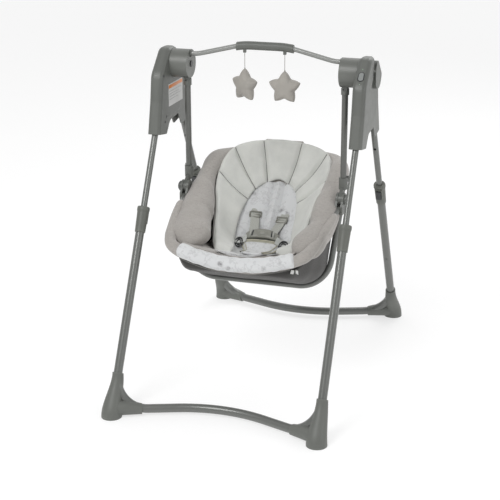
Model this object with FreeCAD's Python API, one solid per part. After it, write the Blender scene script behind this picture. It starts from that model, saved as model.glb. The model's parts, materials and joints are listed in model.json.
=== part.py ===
"""Folding baby swing: two A-shaped sides of telescoping tube, a toy bar and a padded swinging seat.

Millimetres. Z is up and the floor is Z = 0. The front is -Y and the frame is symmetric about X = 0.
The origin is on the floor under the middle of the frame.
"""
import FreeCAD, Part
import math
import os

V = FreeCAD.Vector

# ---------------------------------------------------------------- driving sizes: the frame
APEX_HEIGHT = 830.6        # where the lines of a front and a rear leg cross
LEG_PLANE = 264.0          # each side frame's distance from the middle
LEG_ANGLE = 28.2           # each leg from the vertical, degrees
PIVOT_DROP = 20.6          # the swing and fold axis below the apex

UPPER_TUBE_R = 8.0         # 16 mm upper leg tube
LOWER_TUBE_R = 11.1        # 22.2 mm lower leg and base tube
TUBE_WALL = 1.2
UPPER_TUBE_START = 80.0    # distances down the leg from the apex
HOUSING_GRIP = 16.0        # length of each clamp that holds a leg tube in its housing
COLLAR_START = 405.8
COLLAR_LENGTH = 66.0
UPPER_TUBE_OVERLAP = 48.0  # upper tube inside the lower one, below the collar
LOCK_STATION = 430.0       # the height lock, down the leg from the apex
HEIGHT_STEP = 157.0        # between the two leg lengths
SEAM_HEIGHT = 233.0        # joint between the straight lower tube and the base tube
SPIGOT_LENGTH = 28.0
BASE_HEIGHT = 17.0         # centre line of the base tube above the floor
BASE_BEND_R = 75.0
BOW_ANGLE = 20.0           # how far the base tube turns inward, degrees
BOW_R = 330.0

HOUSING_HALF_WIDTH = 17.0  # a side housing each way from the leg plane
FRONT_EDGE_R = 10.0        # rounding along the front housing's front edges
REAR_EDGE_R = 6.0          # rounding along the rear housing's rear edges
SHELL_WALL = 3.0
NEST_GAP = 2.0             # between a front shell's cheek and the rear housing inside it
REAR_PLATE = 2.6
HUB_R = 37.0
HUB_REACH = 10.0           # the hub's inner end, in from the swing arms' plane
HUB_WALL = 2.6
AXLE_R = 5.0
TOY_BAR_R = 6.3
TOY_BAR_RISE = 26.0        # the bar's ends above the swing axis
TOY_BAR_ARCH = 29.0        # the bar's middle above its ends
GRIP_R = 10.8
GRIP_HALF_LENGTH = 75.0

# the side housings: corners (y, z below or above the apex, radius), seen from the right side
FRONT_EDGE = ((-22, 21, 24), (-84, -38, 40), (-95, -106, 60), (-115, -187, 0))
CREASE = ((34, -160, 12), (0, -118, 60), (-24, -62, 40), (8, -18, 30), (8, 21, 0))
REAR_EDGE = ((22, 21, 24), (84, -38, 40), (95, -106, 60), (118, -187, 0))
HOUSING_FOOT = (-62, -196, 8)
WEB_FOOT = (-36, -164, 24)
HOUSING_END = 207.0        # where the housings end, down the leg from the apex
SCREW_PLACES = ((-74, -43), (-62, -150), (-72.5, -163))
BUTTON_ALONG = 0.645       # the speed button's place along the sloping front edge
BUTTON_WIDTH = 12.0
BUTTON_LENGTH = 24.0
LENS_SHIFT = 22.0          # each indicator lens from the button's middle
LENS_R = 1.5
POD_CENTRE = (42, -29)
POD_R = 36.0
POD_RISE = 6.0             # the battery pod's rim proud of the rear housing
CELL_R = 7.1
CELL_LENGTH = 50.5
CELL_DROP = 61.0           # the cells' lower ends below the apex
CELL_Y = (27.0, 41.8)

HANGER_HALF = 6.8          # half the hanger's thickness
HANGER_NECK = 9.5
SWING_ROOM = 4.0           # free angle past the swing's limits, degrees
TOY_Y = -3.0
STRING_RISE = 36.2         # the strings' upper ends above the swing axis
LABEL_SIZE = (102.0, 58.0, 0.5)
MAGNET_DROP = 22.0

# ---------------------------------------------------------------- driving sizes: swing and seat
ARM_PLANE = 210.0          # each swing arm's distance from the middle
ARM_TUBE_R = 8.0
HANGER_REACH = 19.0        # the hanger's lower end below the hub
SEAT_PIVOT_DROP = 323.0    # the recline axis below the swing axis
SEAT_PIVOT_FORWARD = 24.0
SWING_ANGLE = 16.0
HOOP_TUBE_R = 8.0
LOOP_TUBE_R = 6.0
HOOP_TILT = 0.2            # the hoop's forward lean, per unit of its depth
HOOP_DEPTH = 229.0
SLEEVE_R = 11.5
SLEEVE_LENGTH = 30.0
SLEEVE_ABOVE_PIVOT = 21.0  # the sleeve's lower end above the recline axis
EYE_R = 15.0
CHEEK_R = 17.0
TONGUE_HALF = 4.2          # half the thickness of the plate that hangs the seat
BRACKET_HALF = 10.4
PIN_R = 4.0

# Seat points are measured from the recline axis: y backward, z up.
# The line a child lies on, from the knees to the head, and the upper edge of the pad's side walls.
LIE_LINE = ((-207, -102, 0), (-14, -165, 70), (163, -8, 70), (197, 94, 0))
PAD_RIM = ((197, 96, 0), (110, 60, 40), (44, 8, 60), (-36, -40, 60), (-126, -72, 60), (-207, -96, 0))
# The bolster's stations: x, y, z, radius.
BOLSTER = ((130, -192, -93, 24), (163, -123, -77, 31), (169, -36, -49, 34), (163, 44, 3, 32),
           (152, 112, 48, 28), (118, 196, 60, 24), (60, 220, 54, 22), (0, 225, 53, 22))
PAD_THICKNESS = 14.0
PAN_THICKNESS = 4.0
PAD_HALF_WIDTH = 128.0
PAD_REAR = 214.0           # the pad's rear edge behind the recline axis
PAD_CORNER = 105.0
PAN_HALF_WIDTH = 100.0
PAN_CORNER = 70.0
SLING_WALL = 4.0
# The sling's sections: y, half width and height at the top, then at the bottom, corner radius.
SLING = ((-222, 146, -130, 134, -146, 9), (-190, 170, -112, 150, -164, 30), (-126, 190, -100, 166, -192, 52),
         (-46, 196, -78, 181, -222, 70), (40, 184, -34, 160, -214, 66), (110, 168, 12, 138, -140, 56),
         (170, 150, 26, 110, -50, 36), (212, 122, 36, 90, 12, 14))
ROLL_R = 16.0
ROLL_HALF_LENGTH = 142.0
PANEL_HALF_WIDTH = 60.0
PANEL_THICKNESS = 6.0
WEBBING_WIDTH = 25.0
WEBBING_THICKNESS = 2.0
STAR_R = 48.0              # to a point's tip before it is rounded
STAR_TIP_ROUNDING = 8.0
STAR_VALLEY_R = 25.0
STAR_VALLEY_ROUNDING = 6.0
STAR_THICKNESS = 18.0
STAR_SPACING = 53.0
STAR_TURN = -26.0          # how far the left star hangs turned from facing forward, degrees
STRING_R = 0.8
STRING_LENGTH = 38.0

# ---------------------------------------------------------------- named clearances
RUNNING = 0.05             # radial, shaft in its bearing
SLIDING = 0.08             # radial, tube in its collar bush
SEAT_FIT = 0.15            # radial, a fixed part round a tube
CLEAR = 0.4                # between bodies, and round soft parts

# ---------------------------------------------------------------- sizes worked out from those above
SIN = math.sin(math.radians(LEG_ANGLE))
COS = math.cos(math.radians(LEG_ANGLE))
PIVOT_Z = APEX_HEIGHT - PIVOT_DROP
SEAT_Y = -SEAT_PIVOT_FORWARD
SEAT_Z = PIVOT_Z - SEAT_PIVOT_DROP
SEAM_STATION = (APEX_HEIGHT - SEAM_HEIGHT) / COS
CORNER_STATION = (APEX_HEIGHT - BASE_HEIGHT) / COS
COLLAR_END = COLLAR_START + COLLAR_LENGTH
UPPER_TUBE_END = COLLAR_END + UPPER_TUBE_OVERLAP
INNER_FACE = LEG_PLANE - HOUSING_HALF_WIDTH
OUTER_FACE = LEG_PLANE + HOUSING_HALF_WIDTH
REAR_INNER_FACE = INNER_FACE + SHELL_WALL + NEST_GAP
REAR_OUTER_FACE = OUTER_FACE - SHELL_WALL - NEST_GAP
HUB_END = ARM_PLANE - HUB_REACH
HUB_LENGTH = INNER_FACE - HUB_END
HANGER_DROP = HUB_R + HANGER_REACH
STRING_TOP = PIVOT_Z + STRING_RISE
FRONT, REAR = -1, 1
LEFT, RIGHT = -1, 1

parts = {}


# ---------------------------------------------------------------- helpers
def compound(shapes):
    """One shape that keeps each of several solids separate."""
    return Part.Compound([s for shape in shapes for s in shape.Solids])


def mirrored(shape):
    """The same shape on the other side."""
    return shape.mirror(V(0, 0, 0), V(1, 0, 0))


def both_sides(shape):
    """A right-hand shape and its left-hand twin."""
    return compound([mirrored(shape), shape])


def turned_round(shape):
    """The same shape at the rear instead of the front."""
    return shape.mirror(V(0, 0, 0), V(0, 1, 0))


def cylinder(start, direction, radius, length):
    return Part.makeCylinder(radius, length, V(*start), V(*direction))


def block(low, high):
    """A box between two corners."""
    low, high = V(*low), V(*high)
    size = high - low
    return Part.makeBox(size.x, size.y, size.z, low)


def rounded_path(corners):
    """A wire of straight runs; each inner corner (point, radius) is an arc tangent to its runs."""
    points = [V(*point) for point, _ in corners]
    edges = []
    here = points[0]
    for before, at, after, (_, radius) in zip(points, points[1:], points[2:], corners[1:]):
        if radius == 0:
            edges.append(Part.LineSegment(here, at).toShape())
            here = at
            continue
        back = (before - at).normalize()
        ahead = (after - at).normalize()
        half = back.getAngle(ahead) / 2
        reach = radius / math.tan(half)
        middle = at + (back + ahead).normalize() * (radius / math.sin(half) - radius)
        if (at + back * reach - here).Length > 1e-6:
            edges.append(Part.LineSegment(here, at + back * reach).toShape())
        edges.append(Part.Arc(at + back * reach, middle, at + ahead * reach).toShape())
        here = at + ahead * reach
    edges.append(Part.LineSegment(here, points[-1]).toShape())
    return Part.Wire(edges)


def pipe(path, radius):
    """A solid round bar along a path."""
    first = path.OrderedEdges[0]
    start = path.OrderedVertexes[0].Point
    direction = first.tangentAt(first.FirstParameter)
    ring = Part.Wire(Part.Circle(start, direction, radius).toShape())
    return path.makePipeShell([ring], True, False)


def tube(path, radius, wall):
    """A hollow tube along a path."""
    return pipe(path, radius).cut(pipe(path, radius - wall))


def outline(corners, place):
    """A flat face from corners (a, b, radius), each placed in space by place(a, b)."""
    count = len(corners)
    edges = []
    ends = []
    for index, (a, b, radius) in enumerate(corners):
        at = place(a, b)
        back = (place(*corners[index - 1][:2]) - at).normalize()
        ahead = (place(*corners[(index + 1) % count][:2]) - at).normalize()
        if radius == 0:
            ends.append((at, at))
            continue
        half = back.getAngle(ahead) / 2
        reach = radius / math.tan(half)
        middle = at + (back + ahead).normalize() * (radius / math.sin(half) - radius)
        start, end = at + back * reach, at + ahead * reach
        edges.append(Part.Arc(start, middle, end).toShape())
        ends.append((start, end))
    for index in range(count):
        start, end = ends[index - 1][1], ends[index][0]
        if (end - start).Length > 1e-6:
            edges.append(Part.LineSegment(start, end).toShape())
    return Part.Face(Part.Wire(Part.__sortEdges__(edges)))


def side_prism(corners, x0, x1):
    """Corners (y, z, radius) seen from the side, made solid from x0 to x1."""
    return outline(corners, lambda y, z: V(x0, y, z)).extrude(V(x1 - x0, 0, 0))


def plan_prism(corners, z0, z1):
    """Corners (x, y, radius) seen from above, made solid from z0 to z1."""
    return outline(corners, lambda x, y: V(x, y, z0)).extrude(V(0, 0, z1 - z0))


def front_prism(corners, y0, y1):
    """Corners (x, z, radius) seen from the front, made solid from y0 to y1."""
    return outline(corners, lambda x, z: V(x, y0, z)).extrude(V(0, y1 - y0, 0))


def offset_line(corners, distance):
    """An open line of corners (a, b, radius), moved sideways to its right by a distance."""
    moved = []
    last = len(corners) - 1
    for index, (a, b, radius) in enumerate(corners):
        before = corners[max(index - 1, 0)]
        after = corners[min(index + 1, last)]
        into = V(a - before[0], b - before[1], 0)
        out = V(after[0] - a, after[1] - b, 0)
        into = into.normalize() if index > 0 else V(out).normalize()
        out = out.normalize() if index < last else V(into)
        turn = into.x * out.y - into.y * out.x
        normal = V(into.y + out.y, -into.x - out.x, 0).normalize()
        stretch = distance / (normal.x * into.y - normal.y * into.x)
        sign = 1 if turn > 0 else -1
        new_radius = radius + sign * distance if radius else 0
        moved.append((a + normal.x * stretch, b + normal.y * stretch, new_radius))
    return moved


def strip(corners, near, far):
    """The closed outline of a sheet between two offsets of one line."""
    return offset_line(corners, near) + list(reversed(offset_line(corners, far)))


def loft_rings(stations):
    """A solid through rings (centre, direction, radius)."""
    rings = [Part.Wire(Part.Circle(V(*c), V(*d), r).toShape()) for c, d, r in stations]
    return Part.makeLoft(rings, True, False)


def along(points):
    """The direction of a smooth line at each of its points."""
    vectors = [V(*p) for p in points]
    last = len(vectors) - 1
    return [(vectors[min(i + 1, last)] - vectors[max(i - 1, 0)]).normalize() for i in range(last + 1)]


# ---------------------------------------------------------------- legs and base
def on_leg(end, station, x=LEG_PLANE, inward=0.0):
    """A point down a leg from the apex; inward moves it square to the leg, under the A."""
    y = end * (SIN * station - COS * inward)
    return (x, y, APEX_HEIGHT - COS * station - SIN * inward)


def leg_direction(end):
    return (0, end * SIN, -COS)


def inward_direction(end):
    return (0, -end * COS, -SIN)


def leg_cylinder(end, start, finish, radius, x=LEG_PLANE):
    return cylinder(on_leg(end, start, x), leg_direction(end), radius, finish - start)


def leg_pin(end, station, radius, near, far):
    """A short round bar square to the leg, from near to far under the leg's centre line."""
    return cylinder(on_leg(end, station, LEG_PLANE, near), inward_direction(end), radius, far - near)


def upper_tube(end):
    bar = leg_cylinder(end, UPPER_TUBE_START, UPPER_TUBE_END, UPPER_TUBE_R)
    bore = leg_cylinder(end, UPPER_TUBE_START, UPPER_TUBE_END, UPPER_TUBE_R - TUBE_WALL)
    holes = [leg_pin(end, station, 3.5, 0, UPPER_TUBE_R + 1)
             for station in (LOCK_STATION, LOCK_STATION - HEIGHT_STEP)]
    return bar.cut(bore).cut(compound(holes))


def middle_tube(end):
    """The straight lower tube, with a narrowed end that enters the base tube."""
    top = COLLAR_START + 20.0
    spigot_r = LOWER_TUBE_R - TUBE_WALL - SLIDING
    bar = leg_cylinder(end, top, SEAM_STATION, LOWER_TUBE_R)
    bar = bar.fuse(leg_cylinder(end, SEAM_STATION, SEAM_STATION + SPIGOT_LENGTH, spigot_r))
    bore = leg_cylinder(end, top, SEAM_STATION - 4, LOWER_TUBE_R - TUBE_WALL)
    bore = bore.fuse(leg_cylinder(end, SEAM_STATION - 4, SEAM_STATION + SPIGOT_LENGTH, spigot_r - TUBE_WALL))
    lock_hole = leg_pin(end, LOCK_STATION, 3.5, 0, LOWER_TUBE_R + 1)
    button_hole = leg_pin(end, SEAM_STATION + SPIGOT_LENGTH / 2, 3.2, 0, LOWER_TUBE_R)
    return bar.cut(bore).cut(lock_hole).cut(button_hole)


def base_path(end):
    """From the right seam down the leg, across the floor in a bow and up the left leg."""
    corner = on_leg(end, CORNER_STATION)
    # the two straight runs of the bow meet at this depth before their corner is rounded
    apex_y = corner[1] - end * LEG_PLANE * math.tan(math.radians(BOW_ANGLE))
    return rounded_path([
        (on_leg(end, SEAM_STATION), 0),
        (corner, BASE_BEND_R),
        ((0, apex_y, BASE_HEIGHT), BOW_R),
        ((-corner[0], corner[1], corner[2]), BASE_BEND_R),
        (on_leg(end, SEAM_STATION, -LEG_PLANE), 0)])


def base_tube(end):
    hole = leg_pin(end, SEAM_STATION + SPIGOT_LENGTH / 2, 3.2, 0, LOWER_TUBE_R + 1)
    return tube(base_path(end), LOWER_TUBE_R, TUBE_WALL).cut(hole).cut(mirrored(hole))


def seam_button(end):
    """A spring button through the base tube and the spigot inside it."""
    middle = SEAM_STATION + SPIGOT_LENGTH / 2
    inside = UPPER_TUBE_R - 1
    return leg_pin(end, middle, 3.1, inside, LOWER_TUBE_R + 1.4)


def collar(end):
    """The lock collar: a round shroud with a thick lip, a bush for the upper tube and a lever boss."""
    profile = ((0.0, 14.8), (3.0, 16.2), (9.0, 16.2), (15.0, 14.9), (COLLAR_LENGTH, 13.4))
    wire = [V(0, 0, 0)] + [V(radius, 0, drop) for drop, radius in profile] + [V(0, 0, COLLAR_LENGTH)]
    shroud = Part.Face(Part.makePolygon(wire + [wire[0]])).revolve(V(0, 0, 0), V(0, 0, 1), 360)
    shroud.Placement = FreeCAD.Placement(V(*on_leg(end, COLLAR_START)),
                                         FreeCAD.Rotation(V(0, 0, 1), V(*leg_direction(end))))
    boss = leg_block(end, LOCK_STATION - 17, LOCK_STATION + 17, 9.5, 0, 18.5)
    window = leg_block(end, LOCK_STATION - 14, LOCK_STATION + 14, 7.0, 14.2, 30)
    upper_bore = leg_cylinder(end, COLLAR_START - 1, COLLAR_END, UPPER_TUBE_R + SLIDING)
    lower_bore = leg_cylinder(end, COLLAR_START + 20, COLLAR_END + 1, LOWER_TUBE_R + SLIDING)
    stem_hole = leg_pin(end, LOCK_STATION, 3.5, 0, 30)
    return shroud.fuse(boss).cut(window).cut(upper_bore).cut(lower_bore).cut(stem_hole)


def leg_block(end, start, finish, half_width, near, far):
    """A box aligned with the leg, from near to far under its centre line."""
    corners = [on_leg(end, start, 0, near), on_leg(end, finish, 0, near),
               on_leg(end, finish, 0, far), on_leg(end, start, 0, far)]
    return side_prism([(c[1], c[2], 0) for c in corners], LEG_PLANE - half_width, LEG_PLANE + half_width)


def height_lock(end):
    """The lever pad in the collar's window, with the pin that meets the upper tube."""
    pad = leg_block(end, LOCK_STATION - 13.6, LOCK_STATION + 13.6, 6.6, 15.8, 22.0)
    return pad.fuse(leg_pin(end, LOCK_STATION, 3.1, UPPER_TUBE_R + 0.3, 17.0))


def shoe():
    """A front right corner shoe: a boot up the leg, a heel on the floor and a toe along the base."""
    corner = on_leg(FRONT, CORNER_STATION)
    top = on_leg(FRONT, CORNER_STATION - 92.0)
    down = leg_direction(FRONT)
    turn = math.radians(BOW_ANGLE)
    inward = V(-math.cos(turn), math.sin(turn), 0)
    heel_r = 26.0
    boot = loft_rings([
        ((corner[0], corner[1] - 5.5, 0), (0, 0, 1), heel_r),
        ((corner[0], corner[1] - 3.0, 20), (0, 0, 1), heel_r - 1.5),
        ((corner[0], (corner[1] + top[1]) / 2, 55), (0, SIN * 0.6, COS), 19.0),
        (top, (-down[0], -down[1], -down[2]), LOWER_TUBE_R + 3.0)])
    toe_start = V(*corner) + inward * 6
    toe_end = V(*corner) + inward * 74
    toe = loft_rings([
        ((toe_start.x, toe_start.y, BASE_HEIGHT + 4), tuple(inward), 20.0),
        ((toe_start.x + inward.x * 34, toe_start.y + inward.y * 34, BASE_HEIGHT + 3), tuple(inward), 17.5),
        (tuple(toe_end), tuple(inward), LOWER_TUBE_R + 2.6)])
    below_floor = block((0, corner[1] - 200, -60), (LEG_PLANE + 200, 0, 0))
    return boot.fuse(toe).cut(below_floor).cut(pipe(base_path(FRONT), LOWER_TUBE_R + SEAT_FIT))


def make_legs():
    for end, name, face in ((FRONT, "front", lambda s: s), (REAR, "rear", turned_round)):
        parts[name + "_upper_tubes"] = both_sides(upper_tube(end))
        parts[name + "_middle_tubes"] = both_sides(compound([middle_tube(end), seam_button(end)]))
        parts[name + "_base_tube"] = base_tube(end)
        parts[name + "_collars"] = both_sides(collar(end))
        parts[name + "_shoes"] = both_sides(face(shoe()))
        for side, hand in ((LEFT, "left"), (RIGHT, "right")):
            lock = height_lock(end)
            parts[f"{name}_{hand}_height_lock"] = mirrored(lock) if side == LEFT else lock


# ---------------------------------------------------------------- side housings

def heights(corners):
    return [(y, APEX_HEIGHT + z, radius) for y, z, radius in corners]


def front_outline():
    """The front housing as the outer face shows it, with the S-shaped rear edge."""
    return heights(FRONT_EDGE + (HOUSING_FOOT, WEB_FOOT) + CREASE)


def inner_cheek_outline():
    """The inner cheek reaches further back, behind the hub."""
    return heights(FRONT_EDGE + (HOUSING_FOOT, WEB_FOOT, (40, -156, 12), (66, -120, 20), (72, -50, 30),
                                 (24, 21, 24)))


def tube_clamps(end, half_width):
    """The two blocks that hold a leg tube inside its housing."""
    starts = (UPPER_TUBE_START + 2, HOUSING_END - 10 - HOUSING_GRIP)
    return [leg_block(end, start, start + HOUSING_GRIP, half_width, -60, 11) for start in starts]


def half_space(outer):
    """The side of the leg plane that one shell of a housing takes up."""
    near, far = (LEG_PLANE, OUTER_FACE + 10) if outer else (INNER_FACE - 10, LEG_PLANE)
    return block((near, -300, 0), (far, 300, APEX_HEIGHT + 100))


def soften(body, corners, face, radius):
    """Round the edges of one flat face of a body that lie along a line of corners."""
    line = rounded_path([((face, y, z), corner_r) for y, z, corner_r in corners])
    edges = [edge for edge in body.Edges
             if line.distToShape(Part.Vertex(edge.valueAt((edge.FirstParameter + edge.LastParameter) / 2)))[0]
             < 0.01]
    return body.makeFillet(radius, edges)


def front_rim_line():
    return heights(((60, 21, 0),) + FRONT_EDGE + ((-125, -230, 0),))


def rear_rim_line():
    return heights(((-60, 21, 0),) + REAR_EDGE + ((128, -230, 0),))


def front_envelope():
    """The front housing's outer shape, before it is hollowed and split."""
    body = side_prism(front_outline(), INNER_FACE, OUTER_FACE)
    for face in (INNER_FACE, OUTER_FACE):
        body = soften(body, front_rim_line(), face, FRONT_EDGE_R)
    return body


def rear_envelope():
    """The rear housing's outer shape, before it is hollowed and split."""
    body = side_prism(rear_outline(), REAR_INNER_FACE, REAR_OUTER_FACE)
    for face in (REAR_INNER_FACE, REAR_OUTER_FACE):
        body = soften(body, rear_rim_line(), face, REAR_EDGE_R)
    return body


def front_slope(depth, along_slope=0.0):
    """A point on the front housing's sloping edge, below its surface by depth."""
    top, bottom = V(0, *FRONT_EDGE[0][:2]), V(0, *FRONT_EDGE[1][:2])
    down = (bottom - top).normalize()
    into = V(0, down.z, -down.y) * -1
    at = top + (bottom - top) * BUTTON_ALONG + down * along_slope + into * depth
    return V(LEG_PLANE, at.y, APEX_HEIGHT + at.z), down, into


def slot_bar(width, length, near, far):
    """A bar with round ends, square to the sloping front edge, between two depths."""
    _, down, into = front_slope(0)
    half = (length - width) / 2
    start = front_slope(near, -half)[0]
    bars = [Part.makeCylinder(width / 2, far - near, front_slope(near, shift)[0], into)
            for shift in (-half, half)]
    across = V(width / 2, 0, 0)
    corners = [start - across, start + across, start + across + down * 2 * half,
               start - across + down * 2 * half]
    middle = Part.Face(Part.makePolygon(corners + corners[:1])).extrude(into * (far - near))
    return bars[0].fuse(bars[1]).fuse(middle).removeSplitter()


def front_shell(outer, with_button):
    """Half of a right front housing: a cheek, a rim along the front and tube clamps."""
    face = OUTER_FACE if outer else INNER_FACE
    wall = -SHELL_WALL if outer else SHELL_WALL
    room = front_envelope()
    body = room.common(half_space(outer))
    rim = offset_line(front_rim_line(), -SHELL_WALL)
    far_corners = heights(((160, -240, 0), (160, 12, 0)))
    hollow = side_prism(rim + far_corners, face + wall, LEG_PLANE)
    body = body.cut(soften(hollow, rim, face + wall, FRONT_EDGE_R - SHELL_WALL))
    if not outer:
        cheek = side_prism(inner_cheek_outline(), face, LEG_PLANE)
        cheek = soften(cheek, front_rim_line(), face, FRONT_EDGE_R)
        body = body.fuse(cheek.common(side_prism(inner_cheek_outline(), face, face + wall)))
    clamp_half = REAR_OUTER_FACE - REAR_PLATE - LEG_PLANE - CLEAR
    fillings = tube_clamps(FRONT, clamp_half)
    fillings.append(leg_block(FRONT, HOUSING_END - 8, HOUSING_END, HOUSING_HALF_WIDTH, -20, 12))
    for filling in fillings:
        body = body.fuse(filling.common(half_space(outer)).common(room))
    screws = heights([(y, z, 0) for y, z in SCREW_PLACES])
    for y, z, _ in screws:
        body = body.fuse(cylinder((INNER_FACE, y, z), (1, 0, 0), 4.5, 2 * HOUSING_HALF_WIDTH)
                         .common(half_space(outer)).common(room))
    body = body.cut(leg_cylinder(FRONT, UPPER_TUBE_START - 0.5, 260, UPPER_TUBE_R + SEAT_FIT))
    body = body.cut(cylinder((HUB_END, 0, PIVOT_Z), (1, 0, 0), AXLE_R + RUNNING, 200))
    for y, z, _ in screws:
        body = body.cut(cylinder((INNER_FACE - 1, y, z), (1, 0, 0), 1.7, 2 * HOUSING_HALF_WIDTH - 6))
        body = body.cut(cylinder((INNER_FACE - 1, y, z), (1, 0, 0), 3.4, 3.0))
    if with_button:
        body = body.cut(slot_bar(BUTTON_WIDTH + 4.3, BUTTON_LENGTH + 4.3, -10, SHELL_WALL + 1))
        for shift in (-LENS_SHIFT, LENS_SHIFT):
            start, _, into = front_slope(-10, shift)
            body = body.cut(Part.makeCylinder(LENS_R + 0.1, 14, start, into))
    return body.removeSplitter()


def housing_screw(y, z):
    head = cylinder((INNER_FACE + 0.6, y, z), (1, 0, 0), 3.2, 1.4)
    return head.fuse(cylinder((INNER_FACE + 2.0, y, z), (1, 0, 0), 1.55,
                              2 * HOUSING_HALF_WIDTH - 12))


def rear_outline():
    """The rear housing, whose flat plates reach forward between the front cheeks."""
    return heights(((8.5, 21, 0),) + REAR_EDGE + ((60, -197, 8), (40, -163, 12), (26, -158, 6),
                                                  (-8, -118, 40), (-32, -62, 20), (-34, -34, 10),
                                                  (-26, 2, 14), (8.5, 14, 0)))


def rear_shell(outer, with_pod):
    """Half of a right rear housing, which turns on the axle between the front cheeks."""
    face = REAR_OUTER_FACE if outer else REAR_INNER_FACE
    wall = -REAR_PLATE if outer else REAR_PLATE
    room = rear_envelope()
    body = room.common(half_space(outer))
    rim = offset_line(rear_rim_line(), SHELL_WALL)
    far_corners = heights(((-160, -240, 0), (-160, 18, 0)))
    hollow = side_prism(rim + far_corners, face + wall, LEG_PLANE)
    body = body.cut(soften(hollow, rim, face + wall, REAR_EDGE_R - SHELL_WALL))
    half_width = REAR_OUTER_FACE - LEG_PLANE
    fillings = tube_clamps(REAR, half_width)
    fillings.append(leg_block(REAR, HOUSING_END - 8, HOUSING_END, half_width, -22, 12))
    fillings.append(cylinder((REAR_INNER_FACE, 0, PIVOT_Z), (1, 0, 0), 15, 2 * half_width))
    for filling in fillings:
        body = body.fuse(filling.common(half_space(outer)).common(room))
    body = body.cut(leg_cylinder(REAR, UPPER_TUBE_START - 0.5, 260, UPPER_TUBE_R + SEAT_FIT))
    body = body.cut(cylinder((HUB_END, 0, PIVOT_Z), (1, 0, 0), AXLE_R + RUNNING, 200))
    if with_pod:
        y, z, _ = heights([POD_CENTRE + (0,)])[0]
        body = body.fuse(cylinder((face - REAR_PLATE, y, z), (1, 0, 0), POD_R, POD_RISE + REAR_PLATE))
        body = body.cut(cylinder((LEG_PLANE, y, z), (1, 0, 0), POD_R - 2.2, 60))
        keep = side_prism(rear_outline(), LEG_PLANE, OUTER_FACE + 20)
        body = body.common(keep)
    return body.removeSplitter()


def battery_door():
    """The pod's round cover, with a hinge barrel along its rear edge."""
    y, z, _ = heights([POD_CENTRE + (0,)])[0]
    start = REAR_OUTER_FACE + POD_RISE + 0.3
    cover = cylinder((start, y, z), (1, 0, 0), POD_R, 3.2)
    keep = side_prism(heights(((12, 21, 0),) + REAR_EDGE[:2] + ((95, -106, 0), (12, -106, 0))),
                      start - 1, start + 10)
    return cover.common(keep).removeSplitter()


def battery_cells():
    """Two round cells standing side by side behind the axle boss."""
    low = APEX_HEIGHT - CELL_DROP
    return compound([cylinder((LEG_PLANE, y, low), (0, 0, 1), CELL_R, CELL_LENGTH) for y in CELL_Y])


def battery_contacts():
    """Spring plates at both ends of the cells."""
    low = APEX_HEIGHT - CELL_DROP
    plates = []
    for z in (low - 0.7, low + CELL_LENGTH + 0.1):
        plates.append(block((LEG_PLANE - 8, CELL_Y[0] - 7, z), (LEG_PLANE + 8, CELL_Y[1] + 7, z + 0.6)))
    return compound(plates)


def make_housings():
    for outer, word in ((False, "inner"), (True, "outer")):
        parts[f"front_{word}_shells"] = compound([mirrored(front_shell(outer, False)),
                                                  front_shell(outer, True)])
        parts[f"rear_{word}_shells"] = compound([mirrored(rear_shell(outer, False)),
                                                 rear_shell(outer, outer)])
    places = [(y, APEX_HEIGHT + z) for y, z in SCREW_PLACES]
    parts["housing_screws"] = both_sides(compound([housing_screw(y, z) for y, z in places]))
    parts["battery_door"] = battery_door()
    parts["battery_cells"] = battery_cells()
    parts["battery_contacts"] = battery_contacts()


# ---------------------------------------------------------------- hubs, axles, drive and controls

def hanger_window():
    """The wedge at the bottom of the hub that the hanger swings in."""
    spread = SWING_ANGLE + SWING_ROOM + math.degrees(math.asin(HANGER_NECK / HUB_R))
    reach = HUB_R + 20
    side = reach * math.tan(math.radians(spread))
    corners = ((0, PIVOT_Z, 0), (-side, PIVOT_Z - reach, 0), (side, PIVOT_Z - reach, 0))
    return side_prism(corners, HUB_END + HUB_WALL, ARM_PLANE + HANGER_HALF + 1.5)


def hub():
    """The drum between the housing and the hanger, with a socket for the toy bar."""
    body = cylinder((HUB_END, 0, PIVOT_Z), (1, 0, 0), HUB_R, HUB_LENGTH)
    body = body.cut(cylinder((HUB_END + HUB_WALL, 0, PIVOT_Z), (1, 0, 0), HUB_R - HUB_WALL, HUB_LENGTH))
    body = body.cut(hanger_window())
    socket_z = PIVOT_Z + TOY_BAR_RISE
    socket = cylinder((HUB_END - 3, 0, socket_z), (1, 0, 0), TOY_BAR_R + 2.6, 27)
    boss = cylinder((INNER_FACE - 14, 0, PIVOT_Z), (1, 0, 0), AXLE_R + 4, 14)
    back = cylinder((INNER_FACE - 2, 0, PIVOT_Z), (1, 0, 0), HUB_R - 1, 2)
    body = body.fuse(socket).fuse(back).fuse(boss)
    body = body.cut(cylinder((HUB_END - 4, 0, socket_z), (1, 0, 0), TOY_BAR_R + SEAT_FIT, 24))
    return body.cut(cylinder((HUB_END - 4, 0, PIVOT_Z), (1, 0, 0), AXLE_R + RUNNING, 100))


def axle():
    """The steel pin that the hanger swings on and the rear housing folds on."""
    pin = cylinder((HUB_END - 1.5, 0, PIVOT_Z), (1, 0, 0), AXLE_R, OUTER_FACE + 1.5 - HUB_END)
    head = cylinder((HUB_END - 2.8, 0, PIVOT_Z), (1, 0, 0), AXLE_R + 3, 2.6)
    return pin.fuse(head)


def toy_bar_path():
    rise = PIVOT_Z + TOY_BAR_RISE
    end = HUB_END + 19
    knee = HUB_END - 18
    crown = 62.0
    return rounded_path([((end, 0, rise), 0), ((knee, 0, rise), 120),
                         ((crown, 0, rise + TOY_BAR_ARCH), 220), ((-crown, 0, rise + TOY_BAR_ARCH), 220),
                         ((-knee, 0, rise), 120), ((-end, 0, rise), 0)])


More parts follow.
